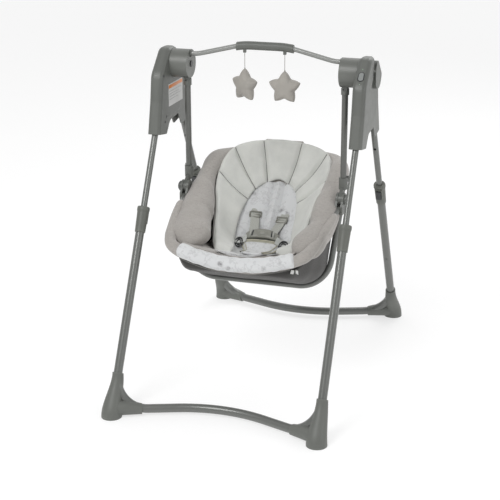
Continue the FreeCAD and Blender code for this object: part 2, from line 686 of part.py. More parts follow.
def toy_bar_grip():
    """The thick sleeve on the toy bar, with a lug for each toy's string."""
    path = toy_bar_path()
    span = block((-GRIP_HALF_LENGTH, -40, PIVOT_Z), (GRIP_HALF_LENGTH, 40, PIVOT_Z + 120))
    body = pipe(path, GRIP_R).common(span)
    for x in (-STAR_SPACING, STAR_SPACING):
        lug = block((x - 3.5, TOY_Y - 3.5, STRING_TOP + 2 * CLEAR), (x + 3.5, TOY_Y + 3.5, STRING_TOP + 16))
        body = body.fuse(lug)
    return body.cut(pipe(path, TOY_BAR_R + SEAT_FIT))


def label_panel():
    """A blank plate on the left housing's inner cheek."""
    width, height, thick = LABEL_SIZE
    low = (-INNER_FACE, -44.0, APEX_HEIGHT - 128.0)
    return block(low, (low[0] + thick, low[1] + width, low[2] + height))


def drive_coil():
    """Copper winding on its bobbin, held by the hub's back wall."""
    z = PIVOT_Z - MAGNET_DROP
    start = ARM_PLANE + HANGER_HALF + 8.0
    end = INNER_FACE - 2
    winding = cylinder((start + 1.2, 0, z), (1, 0, 0), 9.5, end - start - 2.4)
    core = cylinder((start, 0, z), (1, 0, 0), 4.5, end - start)
    flanges = [cylinder((x, 0, z), (1, 0, 0), 10.5, 1.2) for x in (start, end - 1.2)]
    bobbin = core.fuse(flanges[0]).fuse(flanges[1])
    return winding.cut(core), bobbin


def drive_magnet():
    """The magnet and the lug that carries it on the right hanger's outer face."""
    start = ARM_PLANE + HANGER_HALF
    return cylinder((start, 0, PIVOT_Z - MAGNET_DROP), (1, 0, 0), 6.0, 6.5)


def control_parts():
    """The speed button, its rim, two indicator lenses and the board behind them."""
    into = front_slope(0)[2]
    down = front_slope(0)[1]
    button = slot_bar(BUTTON_WIDTH, BUTTON_LENGTH, -1.2, SHELL_WALL + 0.5)
    bezel = slot_bar(BUTTON_WIDTH + 4, BUTTON_LENGTH + 4, -0.6, SHELL_WALL)
    bezel = bezel.cut(slot_bar(BUTTON_WIDTH + 0.8, BUTTON_LENGTH + 0.8, -5, SHELL_WALL + 5))
    lenses = [Part.makeCylinder(LENS_R, SHELL_WALL, front_slope(-0.3, shift)[0], into)
              for shift in (-LENS_SHIFT, LENS_SHIFT)]
    start = front_slope(SHELL_WALL + 4.0, -22)[0]
    across = V(10, 0, 0)
    corners = [start - across, start + across, start + across + down * 44, start - across + down * 44]
    board = Part.Face(Part.makePolygon(corners + corners[:1])).extrude(into * 1.6)
    for shift in (-19.0, 15.0):
        post = front_slope(SHELL_WALL, shift)[0]
        board = board.fuse(Part.makeCylinder(2.0, 4.2, post, into))
    switch = slot_bar(5, 8, SHELL_WALL + 2.2, SHELL_WALL + 4.1)
    return button, bezel, compound(lenses), board.fuse(switch)


def make_upper_frame():
    parts["hubs"] = both_sides(hub())
    parts["pivot_axles"] = both_sides(axle())
    parts["toy_bar"] = tube(toy_bar_path(), TOY_BAR_R, 1.2)
    parts["toy_bar_grip"] = toy_bar_grip()
    parts["label_panel"] = label_panel()
    parts["drive_coil"] = compound(drive_coil())
    parts["drive_magnet"] = drive_magnet()
    (parts["speed_button"], parts["button_rim"], parts["indicator_lenses"],
     parts["control_board"]) = control_parts()


# ---------------------------------------------------------------- swing arms

def hanger():
    """The plate on the axle, with a socket for the arm tube."""
    low = PIVOT_Z - HANGER_DROP
    near, far = ARM_PLANE - HANGER_HALF, ARM_PLANE + HANGER_HALF
    eye = cylinder((near, 0, PIVOT_Z), (1, 0, 0), 14, far - near)
    neck = block((near, -HANGER_NECK, low + 12), (far, HANGER_NECK, PIVOT_Z))
    socket = cylinder((ARM_PLANE, 0, low), (0, 0, 1), ARM_TUBE_R + 2.4, 16)
    body = eye.fuse(neck).fuse(socket)
    body = body.cut(cylinder((ARM_PLANE, 0, low - 1), (0, 0, 1), ARM_TUBE_R + SEAT_FIT, 10))
    body = body.cut(cylinder((near - 1, 0, PIVOT_Z), (1, 0, 0), AXLE_R + RUNNING, 20))
    return body.cut(cylinder((ARM_PLANE, -20, low + 13.5), (0, 1, 0), 3.0, 40))


def arm_tube():
    top = PIVOT_Z - HANGER_DROP + 8.8
    bottom = SEAT_Z + SLEEVE_ABOVE_PIVOT + 6
    bar = cylinder((ARM_PLANE, 0, bottom), (0, 0, 1), ARM_TUBE_R, top - bottom)
    return bar.cut(cylinder((ARM_PLANE, 0, bottom), (0, 0, 1), ARM_TUBE_R - TUBE_WALL, top - bottom))


def arm_sleeve():
    """The moulding on the arm's lower end: a sleeve, a release catch and the tongue of the seat joint."""
    low = SEAT_Z + SLEEVE_ABOVE_PIVOT
    sleeve = cylinder((ARM_PLANE, 0, low), (0, 0, 1), SLEEVE_R, SLEEVE_LENGTH)
    catch = block((ARM_PLANE + 3, 6, low + SLEEVE_LENGTH - 12), (ARM_PLANE + 13, 13, low + SLEEVE_LENGTH + 3))
    reach = EYE_R * 0.7
    corners = ((-SLEEVE_R + 1, low + 8, 0), (SEAT_Y - reach, SEAT_Z + reach, 0),
               (SEAT_Y + reach, SEAT_Z - reach, 0), (SLEEVE_R - 1, low + 8, 0))
    near, far = ARM_PLANE - TONGUE_HALF, ARM_PLANE + TONGUE_HALF
    tongue = side_prism(corners, near, far)
    eye = cylinder((near, SEAT_Y, SEAT_Z), (1, 0, 0), EYE_R, far - near)
    body = sleeve.fuse(catch).fuse(tongue).fuse(eye)
    body = body.cut(cylinder((ARM_PLANE, 0, low + 5.9), (0, 0, 1), ARM_TUBE_R + SEAT_FIT, 60))
    return body.cut(cylinder((near - 1, SEAT_Y, SEAT_Z), (1, 0, 0), PIN_R + RUNNING, 20))


def make_swing():
    parts["hangers"] = both_sides(hanger())
    parts["swing_arm_tubes"] = both_sides(arm_tube())
    parts["arm_sleeves"] = both_sides(arm_sleeve())


# ---------------------------------------------------------------- seat frame
def seat_points(corners):
    """Corners (y, z, radius) from the recline axis, placed in the frame."""
    return [(SEAT_Y + y, SEAT_Z + z, radius) for y, z, radius in corners]


def hoop_path():
    """The U under the seat, from one bracket down and across to the other."""
    def at(x, depth):
        return (x, SEAT_Y - HOOP_TILT * depth, SEAT_Z - depth)
    return rounded_path([(at(ARM_PLANE + 2, 17), 0), (at(ARM_PLANE - 22, HOOP_DEPTH), 84),
                         (at(22 - ARM_PLANE, HOOP_DEPTH), 84), (at(-ARM_PLANE - 2, 17), 0)])


def front_loop_path():
    """The loop under the knees."""
    start = (ARM_PLANE, SEAT_Y - 17, SEAT_Z - 21)
    corner = (178, SEAT_Y - 222, SEAT_Z - 89)
    middle = (0, SEAT_Y - 238, SEAT_Z - 131)
    mirror_corner, mirror_start = (-corner[0],) + corner[1:], (-start[0],) + start[1:]
    return rounded_path([(start, 0), (corner, 50), (middle, 460), (mirror_corner, 50), (mirror_start, 0)])


def back_loop_path():
    """The loop behind the head."""
    start = (ARM_PLANE - 1, SEAT_Y + 14, SEAT_Z - 21)
    side = (176, SEAT_Y + 130, SEAT_Z + 34)
    corner = (120, SEAT_Y + 224, SEAT_Z + 52)
    points = [(start, 0), (side, 60), (corner, 50)]
    other = [((-p[0], p[1], p[2]), radius) for p, radius in reversed(points)]
    return rounded_path(points + other)


def seat_bracket():
    """The clevis on each side that the arm's tongue enters and the seat's tubes plug into."""
    near, far = ARM_PLANE - BRACKET_HALF, ARM_PLANE + BRACKET_HALF
    gap = TONGUE_HALF + CLEAR
    cheeks = cylinder((near, SEAT_Y, SEAT_Z), (1, 0, 0), CHEEK_R, far - near)
    foot = side_prism(seat_points(((-24, -36, 6), (22, -36, 6), (22, -17, 5), (10, 4, 3), (-14, 4, 3),
                                   (-24, -14, 5))), near, far)
    body = cheeks.fuse(foot)
    slot = block((ARM_PLANE - gap, SEAT_Y - 40, SEAT_Z - EYE_R - CLEAR),
                 (ARM_PLANE + gap, SEAT_Y + 60, SEAT_Z + 40))
    body = body.cut(slot)
    ring = cylinder((far, SEAT_Y, SEAT_Z), (1, 0, 0), 13.0, 6.5)
    body = body.fuse(ring.cut(cylinder((far, SEAT_Y, SEAT_Z), (1, 0, 0), 10.4, 10)))
    body = body.cut(cylinder((near - 1, SEAT_Y, SEAT_Z), (1, 0, 0), PIN_R + RUNNING, 21.8))
    for path, radius in ((hoop_path(), HOOP_TUBE_R), (front_loop_path(), LOOP_TUBE_R),
                         (back_loop_path(), LOOP_TUBE_R)):
        body = body.cut(pipe(path, radius + SEAT_FIT))
    return body


def recline_button():
    start = ARM_PLANE + BRACKET_HALF + 3.4
    cap = cylinder((start, SEAT_Y, SEAT_Z), (1, 0, 0), 10.1, 6.2)
    return cap.makeFillet(1.5, [cap.Edges[0]])


def make_seat_frame():
    parts["seat_hoop"] = tube(hoop_path(), HOOP_TUBE_R, TUBE_WALL)
    parts["seat_front_loop"] = tube(front_loop_path(), LOOP_TUBE_R, TUBE_WALL)
    parts["seat_back_loop"] = tube(back_loop_path(), LOOP_TUBE_R, TUBE_WALL)
    parts["seat_brackets"] = both_sides(seat_bracket())
    pin = cylinder((ARM_PLANE - BRACKET_HALF, SEAT_Y, SEAT_Z), (1, 0, 0), PIN_R, 20.6)
    parts["recline_pins"] = both_sides(pin)
    parts["left_recline_button"], parts["right_recline_button"] = mirrored(recline_button()), recline_button()


# ---------------------------------------------------------------- seat soft parts

def lie_line():
    return seat_points(LIE_LINE)


def pad_plan(half_width, rear, corner):
    return plan_prism(((-half_width, -600, 0), (half_width, -600, 0), (half_width, rear, corner),
                       (-half_width, rear, corner)), 0, APEX_HEIGHT)


def on_seat(near, far, x0, x1, y0, y1):
    """A sheet between two offsets of the lying line, between x0..x1 and y0..y1 from the recline axis."""
    sheet = side_prism(strip(lie_line(), near, far), x0, x1)
    return sheet.common(block((x0 - 1, SEAT_Y + y0, 0), (x1 + 1, SEAT_Y + y1, APEX_HEIGHT)))


def seat_insert():
    """The padded liner: a bent pad with side walls."""
    outside = side_prism(offset_line(lie_line(), PAD_THICKNESS) + seat_points(PAD_RIM),
                         -PAD_HALF_WIDTH, PAD_HALF_WIDTH)
    inside_half = PAD_HALF_WIDTH - PAD_THICKNESS
    plan = pad_plan(PAD_HALF_WIDTH, SEAT_Y + PAD_REAR, PAD_CORNER)
    return outside.cut(pad_room(0, inside_half)).common(plan)


def seat_pan():
    """The stiff board under the liner."""
    near = PAD_THICKNESS + CLEAR
    sheet = side_prism(strip(lie_line(), near, near + PAN_THICKNESS), -PAN_HALF_WIDTH, PAN_HALF_WIDTH)
    return sheet.common(pad_plan(PAN_HALF_WIDTH, SEAT_Y + PAD_REAR, PAN_CORNER))


def sling_hull(inset):
    """The bucket's filled shape, shrunk by inset and left higher at the top."""
    rings = []
    last = len(SLING) - 1
    for index, (y, top_half, top, low_half, low, radius) in enumerate(SLING):
        shift = inset * ((index == 0) - (index == last))
        corners = ((inset - top_half, top + inset, 0), (inset - low_half, low + inset, radius - inset / 2),
                   (low_half - inset, low + inset, radius - inset / 2), (top_half - inset, top + inset, 0))
        rings.append(outline(corners, lambda x, z: V(x, SEAT_Y + y + shift, SEAT_Z + z)).OuterWire)
    return Part.makeLoft(rings, True, False)


def pad_room(depth, half_width):
    """The space of the pad above an offset of the lying line."""
    above = seat_points(((197, 300, 0), (-207, 300, 0)))
    return side_prism(offset_line(lie_line(), depth) + above, -half_width, half_width)


def sling():
    """The grey fabric bucket under the pads."""
    body = sling_hull(0).cut(sling_hull(SLING_WALL)).cut(bolster_bar(CLEAR))
    body = body.cut(pad_room(PAD_THICKNESS + CLEAR, PAD_HALF_WIDTH + CLEAR))
    body = body.cut(pad_room(PAD_THICKNESS + PAN_THICKNESS + 2 * CLEAR, PAN_HALF_WIDTH + CLEAR))
    for path, radius in ((front_loop_path(), LOOP_TUBE_R), (back_loop_path(), LOOP_TUBE_R),
                         (hoop_path(), HOOP_TUBE_R)):
        body = body.cut(pipe(path, radius + CLEAR))
    return max(body.Solids, key=lambda solid: solid.Volume)


def bolster_bar(grow):
    """The bolster before it is cut to fit, grown all round."""
    right = [(x, SEAT_Y + y, SEAT_Z + z, r + grow) for x, y, z, r in BOLSTER]
    left = [(-x, y, z, r) for x, y, z, r in reversed(right[:-1])]
    stations = right + left
    centres = [s[:3] for s in stations]
    return loft_rings([(c, d, s[3]) for c, d, s in zip(centres, along(centres), stations)])


def bolster():
    """The soft C-shaped wall round the liner."""
    limit = ARM_PLANE - BRACKET_HALF - CLEAR
    body = bolster_bar(0).common(block((-limit, -600, 0), (limit, 600, APEX_HEIGHT)))
    depth = PAD_THICKNESS + PAN_THICKNESS + 2 * CLEAR
    plan = pad_plan(PAD_HALF_WIDTH + CLEAR, SEAT_Y + PAD_REAR + CLEAR, PAD_CORNER)
    body = body.cut(pad_room(depth, PAD_HALF_WIDTH + CLEAR).common(plan))
    for path, radius in ((front_loop_path(), LOOP_TUBE_R), (back_loop_path(), LOOP_TUBE_R),
                         (hoop_path(), HOOP_TUBE_R)):
        body = body.cut(pipe(path, radius + CLEAR))
    return max(body.Solids, key=lambda solid: solid.Volume)


def knee_roll():
    """The soft roll sewn round the front loop."""
    path = front_loop_path()
    span = block((-ROLL_HALF_LENGTH, -600, 0), (ROLL_HALF_LENGTH, 0, APEX_HEIGHT))
    return pipe(path, ROLL_R).common(span).cut(pipe(path, LOOP_TUBE_R + CLEAR))


def buckle_parts():
    """The buckle and its release button."""
    low = PANEL_THICKNESS + 8.5 + 2 * CLEAR
    body = on_seat(-low - 13, -low, -33, 33, -14, 13)
    button = on_seat(-low - 14.5, -low - 8, -11, 11, -8, 7)
    pocket = on_seat(-low - 40, -low - 6.4, -11.4, 11.4, -8.4, 7.4)
    return body.cut(pocket), button


def make_soft_parts():
    skin = CLEAR + PANEL_THICKNESS
    half = WEBBING_WIDTH / 2
    parts["seat_insert"] = seat_insert()
    parts["seat_pan"] = seat_pan()
    parts["seat_sling"] = sling()
    parts["seat_bolster"] = bolster()
    parts["knee_roll"] = knee_roll()
    parts["printed_panel"] = on_seat(-skin, -CLEAR, -PANEL_HALF_WIDTH, PANEL_HALF_WIDTH, -200, 150)
    strap_near, strap_far = -skin - CLEAR, -skin - CLEAR - WEBBING_THICKNESS
    shoulder = on_seat(strap_far, strap_near, 37 - half, 37 + half, 14, 112)
    parts["shoulder_straps"] = both_sides(shoulder)
    waist = on_seat(strap_far, strap_near, 34, 96, -12, 11)
    parts["waist_straps"] = both_sides(waist)
    slide = on_seat(strap_far - CLEAR - 4, strap_far - CLEAR, 37 - half - 4, 37 + half + 4, 70, 84)
    parts["strap_slides"] = both_sides(slide)
    parts["crotch_pad"] = on_seat(-skin - CLEAR - 8, -skin - CLEAR, -32, 32, -78, 6)
    parts["buckle"], parts["buckle_button"] = buckle_parts()


# ---------------------------------------------------------------- hanging toys
def star(x):
    """A padded star whose upper tip meets its string."""
    valley_x = STAR_VALLEY_R * math.cos(math.radians(54))
    valley_z = STAR_VALLEY_R * math.sin(math.radians(54))
    half_angle = math.atan2(valley_x, STAR_R - valley_z)
    tip = STAR_R - STAR_TIP_ROUNDING / math.sin(half_angle) + STAR_TIP_ROUNDING
    centre_z = STRING_TOP - STRING_LENGTH - CLEAR - tip
    corners = []
    for index in range(10):
        angle = math.radians(90 + 36 * index)
        point = index % 2 == 0
        radius = STAR_R if point else STAR_VALLEY_R
        rounding = STAR_TIP_ROUNDING if point else STAR_VALLEY_ROUNDING
        corners.append((x + radius * math.cos(angle), centre_z + radius * math.sin(angle), rounding))
    half = STAR_THICKNESS / 2
    return front_prism(corners, TOY_Y - half, TOY_Y + half)


def make_toys():
    for x, hand in ((-STAR_SPACING, "left"), (STAR_SPACING, "right")):
        parts[hand + "_toy_string"] = cylinder((x, TOY_Y, STRING_TOP - STRING_LENGTH), (0, 0, 1),
                                               STRING_R, STRING_LENGTH)
        parts[hand + "_star"] = star(x)
    parts["left_star"].rotate(V(-STAR_SPACING, TOY_Y, 0), V(0, 0, 1), STAR_TURN)


make_legs()
make_housings()
make_upper_frame()
make_swing()
make_seat_frame()
make_soft_parts()
make_toys()

os.makedirs("parts", exist_ok=True)
for name, shape in parts.items():
    shape.exportStep(f"parts/{name}.step")
    print(f"{name:28s} {len(shape.Solids):3d} solids {shape.Volume / 1000:9.1f} cm3")
print(len(parts), "nodes")
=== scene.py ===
"""The looks of a folding baby swing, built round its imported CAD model.

The stage is in metres; the seat's own sizes are in millimetres.
"""
import json
import math

import bmesh
import bpy
import numpy as np
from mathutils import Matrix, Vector


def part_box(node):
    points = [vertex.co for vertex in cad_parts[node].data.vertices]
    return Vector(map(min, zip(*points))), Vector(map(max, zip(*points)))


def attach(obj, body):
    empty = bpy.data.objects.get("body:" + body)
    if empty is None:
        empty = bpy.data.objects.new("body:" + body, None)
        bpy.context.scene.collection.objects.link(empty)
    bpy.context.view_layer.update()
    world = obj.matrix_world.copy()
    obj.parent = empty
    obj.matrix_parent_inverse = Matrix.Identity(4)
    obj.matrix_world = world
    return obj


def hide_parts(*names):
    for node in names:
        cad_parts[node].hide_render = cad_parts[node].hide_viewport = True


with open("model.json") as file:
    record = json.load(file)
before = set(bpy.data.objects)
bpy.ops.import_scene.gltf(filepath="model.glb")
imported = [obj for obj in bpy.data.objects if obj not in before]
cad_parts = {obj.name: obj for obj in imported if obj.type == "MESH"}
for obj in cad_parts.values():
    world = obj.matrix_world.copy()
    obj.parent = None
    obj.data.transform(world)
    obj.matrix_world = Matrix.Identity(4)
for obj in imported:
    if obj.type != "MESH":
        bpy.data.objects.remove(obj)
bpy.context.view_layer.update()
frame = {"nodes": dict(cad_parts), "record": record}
nodes = frame["nodes"]
MM = 0.001
SIDES = (("left", -1), ("right", 1))

# ---------------------------------------------------------------- camera and lamps, in m and degrees
CAMERA_PLACE = (0.9797, -3.2153, 1.4634)
CAMERA_TILT, CAMERA_ROLL, CAMERA_TURN = 90 - 18.77, 0.14, 17.57
CAMERA_LENS, CAMERA_SENSOR = 96.15, 36
# Each lamp's name, place, size and power.
LAMPS = (("key", (-0.9, -2.5, 2.8), 1.6, 56), ("fill", (2.9, -1.0, 1.7), 2.0, 15),
         ("rim", (0.6, 2.4, 2.6), 2.0, 24))
LAMP_TARGET = (0, 0, 0.45)
WORLD_COLOUR, WORLD_STRENGTH = (0.95, 0.955, 0.96, 1), 0.46
FLOOR_SIZE, FLOOR_GREY, FLOOR_GLOW = 40, 0.40, 0.64
WALL_SIZE, WALL_Y, WALL_GLOW = 60, 9, 0.945
COVE_RADIUS, COVE_HEIGHT = 19, 30

# ---------------------------------------------------------------- sizes, in mm
# The line a child lies on: y, z and the bend's radius. The seat's pieces are laid on it.
LIE_CORNERS = ((-231, 377, 0), (-38, 314, 70), (139, 475, 70), (173, 579, 0))
DISH = 0.003               # how fast the lying surface rises away from its middle line
# The liner's outer rim, from its front end to the head: x, y, z.
RIM = ((84, -162, 368), (97, -140, 374), (107, -112, 383), (118, -74, 402), (132, -18, 438), (146, 24, 470),
       (152, 72, 505), (149, 117, 534), (131, 150, 555), (96, 167, 567), (54, 171, 575), (0, 174, 579))
RIGHT_SPREAD = 30.0        # how much further out the liner's right front end lies than its left one
# The liner's inner edge on the lying surface: x and y.
INNER = ((44, -158), (54, -118), (68, -76), (79, -28), (82, 14), (79, 48), (70, 80), (57, 108),
         (43, 121), (30, 129), (0, 137))
RIM_SEAMS = (6, 8, 10)     # the points of each line where the liner's seams end
INNER_SEAMS = (6, 7, 9)
LINER_LOFT = 17.0
LINER_ROWS = (46, 20, 16, 26, 16, 20, 46)  # rows of points in each of the seven channels
LINER_LIFT = 2.0           # the inner edge above the lying surface
CHILD = (0, -20, 470)      # the middle of the space that the padding faces: x, y, z
SEAM_DEPTH = 0.62          # how much of the loft a seam pulls down
SEAM_WIDTH = 5.5
# Pads on the lying surface, front to back: y and half width.
PANEL = ((-226, 70), (-190, 62), (-158, 54), (-118, 64), (-76, 78), (-39, 86), (14, 90), (43, 88),
         (67, 82), (90, 74), (108, 65), (122, 50), (129, 36), (133, 18))
SEAT_FLOOR = ((-250, 150), (-200, 152), (-120, 150), (-60, 144), (0, 138), (80, 126), (130, 108),
              (160, 84))
FLOOR_DISH = 0.0014
CROTCH = ((-124, 29), (-100, 31), (-80, 34), (-60, 39), (-44, 45), (-32, 52), (-24, 57), (-19, 55))
# The bolster's sections: x, y, z, half width, half height.
BOLSTER = ((135, -226, 396, 53, 27), (139, -206, 400, 60, 33), (148, -180, 406, 60, 37),
           (156, -140, 414, 57, 40), (164, -84, 431, 50, 41), (170, -34, 451, 45, 40),
           (175, 14, 476, 36, 37), (177, 56, 500, 29, 32), (174, 104, 521, 27, 29),
           (152, 164, 525, 27, 27), (106, 206, 521, 26, 26), (48, 221, 518, 25, 25), (0, 226, 517, 25, 25))
BOLSTER_SPREAD = 18.0      # how much further out the bolster's right front end lies
# The front roll's line: x, y, z.
ROLL = ((154, -248, 391), (110, -255, 380), (60, -261, 371.5), (0, -263, 368.5))
# The sleeve round the front loop, from the right side to the middle: x, y, z.
HEM = ((207, -66, 459), (201, -125, 439), (192, -178, 421), (185, -213, 408), (172, -239, 396),
       (150, -247, 386), (110, -250, 375), (60, -255, 365), (0, -257, 362))
ROLL_R = 21.0
SLING_BACK_TOP = 500.0     # how high the board backs the sling's rear wall
SLING_BACK_GROW = 1.3      # how far the board's copy is grown to meet that wall
SLING_VOXEL = 2.5
# The harness: strap routes as x, y and lift off the seat; each slide's x, y and turn.
SHOULDER_ROUTES = (("left", ((-41, 66, 3), (-39, 50, 8), (-35, 34, 11), (-30, 14, 17), (-29, -4, 26))),
                   ("right", ((44, 60, 3), (38, 43, 8), (33, 28, 11), (26, 12, 17), (25, -4, 26))))
WAIST_ROUTE = ((40, -14, 27), (50, -16, 18), (62, -16, 9), (84, -14, 3))
SHOULDER_WIDTH, WAIST_WIDTH, STRAP_THICKNESS = 25, 21, 1.6
SLIDES = (("left", -38, 50, 0.05), ("right", 37, 42, -0.10))
SLIDE_HALF, SLIDE_BAR = 15.5, 1.9
HIP_RINGS = ((12.0, 2.3), (6.8, 1.6))      # ring radius and bar radius
HIP_RING_X, HIP_RING_Y, HIP_RING_LIFT = 61, -26, 11.0
BUCKLE_PLACE = (0, -17, 371)
BUCKLE_HALF = 47.5
BUCKLE_TILT = 0.79
SLOT_X = 31                # the buckle's slots, out from its middle
CLOTH_FRAMES = 20          # how long each cloth simulation runs
STAR_POINTS = 5
STAR_HALF = 12.0
STAR_TURN = math.radians(-26)


# ---------------------------------------------------------------- camera, light, floor
def placed(name, data):
    """A new object in the scene."""
    made = bpy.data.objects.new(name, data)
    bpy.context.scene.collection.objects.link(made)
    return made


def dress(piece, material):
    """Give a piece this material and no other."""
    piece.data.materials.clear()
    piece.data.materials.append(material)


def aim_camera():
    camera = placed("camera", bpy.data.cameras.new("camera"))
    camera.location = CAMERA_PLACE
    camera.rotation_euler = [math.radians(turn) for turn in (CAMERA_TILT, CAMERA_ROLL, CAMERA_TURN)]
    camera.data.lens = CAMERA_LENS
    camera.data.sensor_width = CAMERA_SENSOR
    bpy.context.scene.camera = camera


def add_light(name, place, size, power):
    light = placed(name, bpy.data.lights.new(name, "AREA"))
    light.data.shape = "DISK"
    light.data.size = size
    light.data.energy = power
    light.location = place
    light.rotation_euler = (Vector(LAMP_TARGET) - Vector(place)).to_track_quat("-Z", "Y").to_euler()


def light_studio():
    for lamp in LAMPS:
        add_light(*lamp)
    world = bpy.data.worlds.new("studio")
    bpy.context.scene.world = world
    world.use_nodes = True
    background = world.node_tree.nodes["Background"]
    background.inputs["Color"].default_value = WORLD_COLOUR
    background.inputs["Strength"].default_value = WORLD_STRENGTH
    bpy.context.scene.view_settings.view_transform = "Standard"


def stage_plane(name, size, place, turn, grey, glow):
    """A plain studio surface with a soft glow."""
    bpy.ops.mesh.primitive_plane_add(size=size, location=place, rotation=turn)
    plane = bpy.context.object
    plane.name = name
    material = bpy.data.materials.new(name)
    material.use_nodes = True
    shader = material.node_tree.nodes["Principled BSDF"]
    shader.inputs["Base Color"].default_value = (grey, grey, grey, 1)
    shader.inputs["Roughness"].default_value = 0.9
    shader.inputs["Specular IOR Level"].default_value = 0.1
    shader.inputs["Emission Color"].default_value = (1, 1, 1, 1)
    shader.inputs["Emission Strength"].default_value = glow
    plane.data.materials.append(material)


def lay_floor():
    """The floor, a wall behind the swing and a round cove that only the camera sees."""
    stage_plane("studio_floor", FLOOR_SIZE, (0, 0, 0), (0, 0, 0), FLOOR_GREY, FLOOR_GLOW)
    stage_plane("studio_wall", WALL_SIZE, (0, WALL_Y, 0), (math.pi / 2, 0, 0), 0.0, WALL_GLOW)
    bpy.ops.mesh.primitive_cylinder_add(vertices=96, radius=COVE_RADIUS, depth=COVE_HEIGHT,
                                        end_fill_type="NOTHING")
    cove = bpy.context.object
    cove.name = "studio_cove"
    cove.data.materials.append(bpy.data.materials["studio_wall"])
    cove.visible_diffuse = cove.visible_glossy = cove.visible_transmission = cove.visible_shadow = False


aim_camera()
light_studio()
lay_floor()


# ---------------------------------------------------------------- materials
class Paint:
    """A node material that is built up a step at a time."""

    def __init__(self, name, roughness=0.6, **sockets):
        self.material = bpy.data.materials.new(name)
        self.material.use_nodes = True
        self.tree = self.material.node_tree
        self.shader = self.tree.nodes["Principled BSDF"]
        self.shader.inputs["Roughness"].default_value = roughness
        for socket, value in sockets.items():
            self.shader.inputs[socket.replace("_", " ")].default_value = value
        self.place = self.node("ShaderNodeTexCoord").outputs["Object"]
        self.bumps = None

    def node(self, kind, **settings):
        made = self.tree.nodes.new(kind)
        for key, value in settings.items():
            setattr(made, key, value)
        return made

    def link(self, source, target):
        self.tree.links.new(source, target)

    def stretched(self, scale, turn=(0, 0, 0)):
        mapping = self.node("ShaderNodeMapping")
        mapping.inputs["Scale"].default_value = scale
        mapping.inputs["Rotation"].default_value = turn
        self.link(self.place, mapping.inputs["Vector"])
        return mapping.outputs["Vector"]

    def noise(self, scale, detail=4.0, vector=None, roughness=0.55):
        made = self.node("ShaderNodeTexNoise")
        made.inputs["Scale"].default_value = scale
        made.inputs["Detail"].default_value = detail
        made.inputs["Roughness"].default_value = roughness
        self.link(vector or self.place, made.inputs["Vector"])
        return made.outputs["Fac"]

    def waves(self, scale, vector, direction):
        made = self.node("ShaderNodeTexWave", bands_direction=direction)
        made.inputs["Scale"].default_value = scale
        self.link(vector, made.inputs["Vector"])
        return made.outputs["Fac"]

    def math(self, operation, a, b=0.0):
        made = self.node("ShaderNodeMath", operation=operation)
        for index, value in enumerate((a, b)):
            if isinstance(value, (int, float)):
                made.inputs[index].default_value = value
            else:
                self.link(value, made.inputs[index])
        return made.outputs[0]

    def ramp(self, source, stops):
        made = self.node("ShaderNodeValToRGB")
        ramp = made.color_ramp
        while len(ramp.elements) < len(stops):
            ramp.elements.new(0.5)
        for element, (position, colour) in zip(ramp.elements, stops):
            element.position = position
            element.color = (*colour, 1) if not isinstance(colour, (int, float)) else (colour,) * 3 + (1,)
        self.link(source, made.inputs["Fac"])
        return made.outputs["Color"]

    def mix(self, share, a, b):
        made = self.node("ShaderNodeMix", data_type="RGBA")
        for socket, value in ((made.inputs[0], share), (made.inputs[6], a), (made.inputs[7], b)):
            if isinstance(value, tuple):
                socket.default_value = (*value, 1)
            elif isinstance(value, (int, float)):
                socket.default_value = value
            else:
                self.link(value, socket)
        return made.outputs[2]

    def colour(self, source):
        self.link(source, self.shader.inputs["Base Color"])

    def bump(self, height, distance, strength=1.0):
        made = self.node("ShaderNodeBump")
        made.inputs["Distance"].default_value = distance
        made.inputs["Strength"].default_value = strength
        self.link(height, made.inputs["Height"])
        if self.bumps is not None:
            self.link(self.bumps, made.inputs["Normal"])
        self.bumps = made.outputs["Normal"]
        self.link(self.bumps, self.shader.inputs["Normal"])

    def rough(self, source, low, high):
        span = self.node("ShaderNodeMapRange")
        span.inputs["To Min"].default_value = low
        span.inputs["To Max"].default_value = high
        self.link(source, span.inputs["Value"])
        self.link(span.outputs[0], self.shader.inputs["Roughness"])


def shade(colour, factor):
    return tuple(min(1.0, channel * factor) for channel in colour)


def moulded(name, colour, roughness=0.42, grain=900.0, depth=0.00006, wear=0.28):
    """Moulded plastic: fine grain, slow colour drift and paler worn edges."""
    paint = Paint(name, roughness, Coat_Weight=0.08, Coat_Roughness=0.35)
    drift = paint.noise(7.0, 3.0)
    tone = paint.ramp(drift, ((0.3, shade(colour, 0.92)), (0.7, shade(colour, 1.07))))
    edge = paint.node("ShaderNodeNewGeometry").outputs["Pointiness"]
    worn = paint.ramp(edge, ((0.515, 0.0), (0.60, wear)))
    paint.colour(paint.mix(worn, tone, shade(colour, 1.55)))
    paint.rough(paint.noise(60.0, 5.0), roughness - 0.07, roughness + 0.10)
    paint.bump(paint.noise(grain, 2.0), depth, 0.5)
    return paint.material


def enamelled(name, colour, metallic=0.35, roughness=0.30):
    """Painted steel tube: smooth enamel with a faint orange peel and metal flake."""
    paint = Paint(name, roughness, Metallic=metallic, Coat_Weight=0.35, Coat_Roughness=0.18)
    flake = paint.node("ShaderNodeTexVoronoi")
    flake.inputs["Scale"].default_value = 2600.0
    paint.link(paint.place, flake.inputs["Vector"])
    sparkle = paint.ramp(flake.outputs["Distance"], ((0.05, shade(colour, 1.18)), (0.5, shade(colour, 0.97))))
    drift = paint.noise(4.0, 2.0)
    paint.colour(paint.mix(paint.math("MULTIPLY", drift, 0.25), sparkle, shade(colour, 0.85)))
    paint.rough(paint.noise(35.0, 4.0), roughness - 0.05, roughness + 0.08)
    paint.bump(paint.noise(420.0, 2.0), 0.00004, 0.35)
    return paint.material


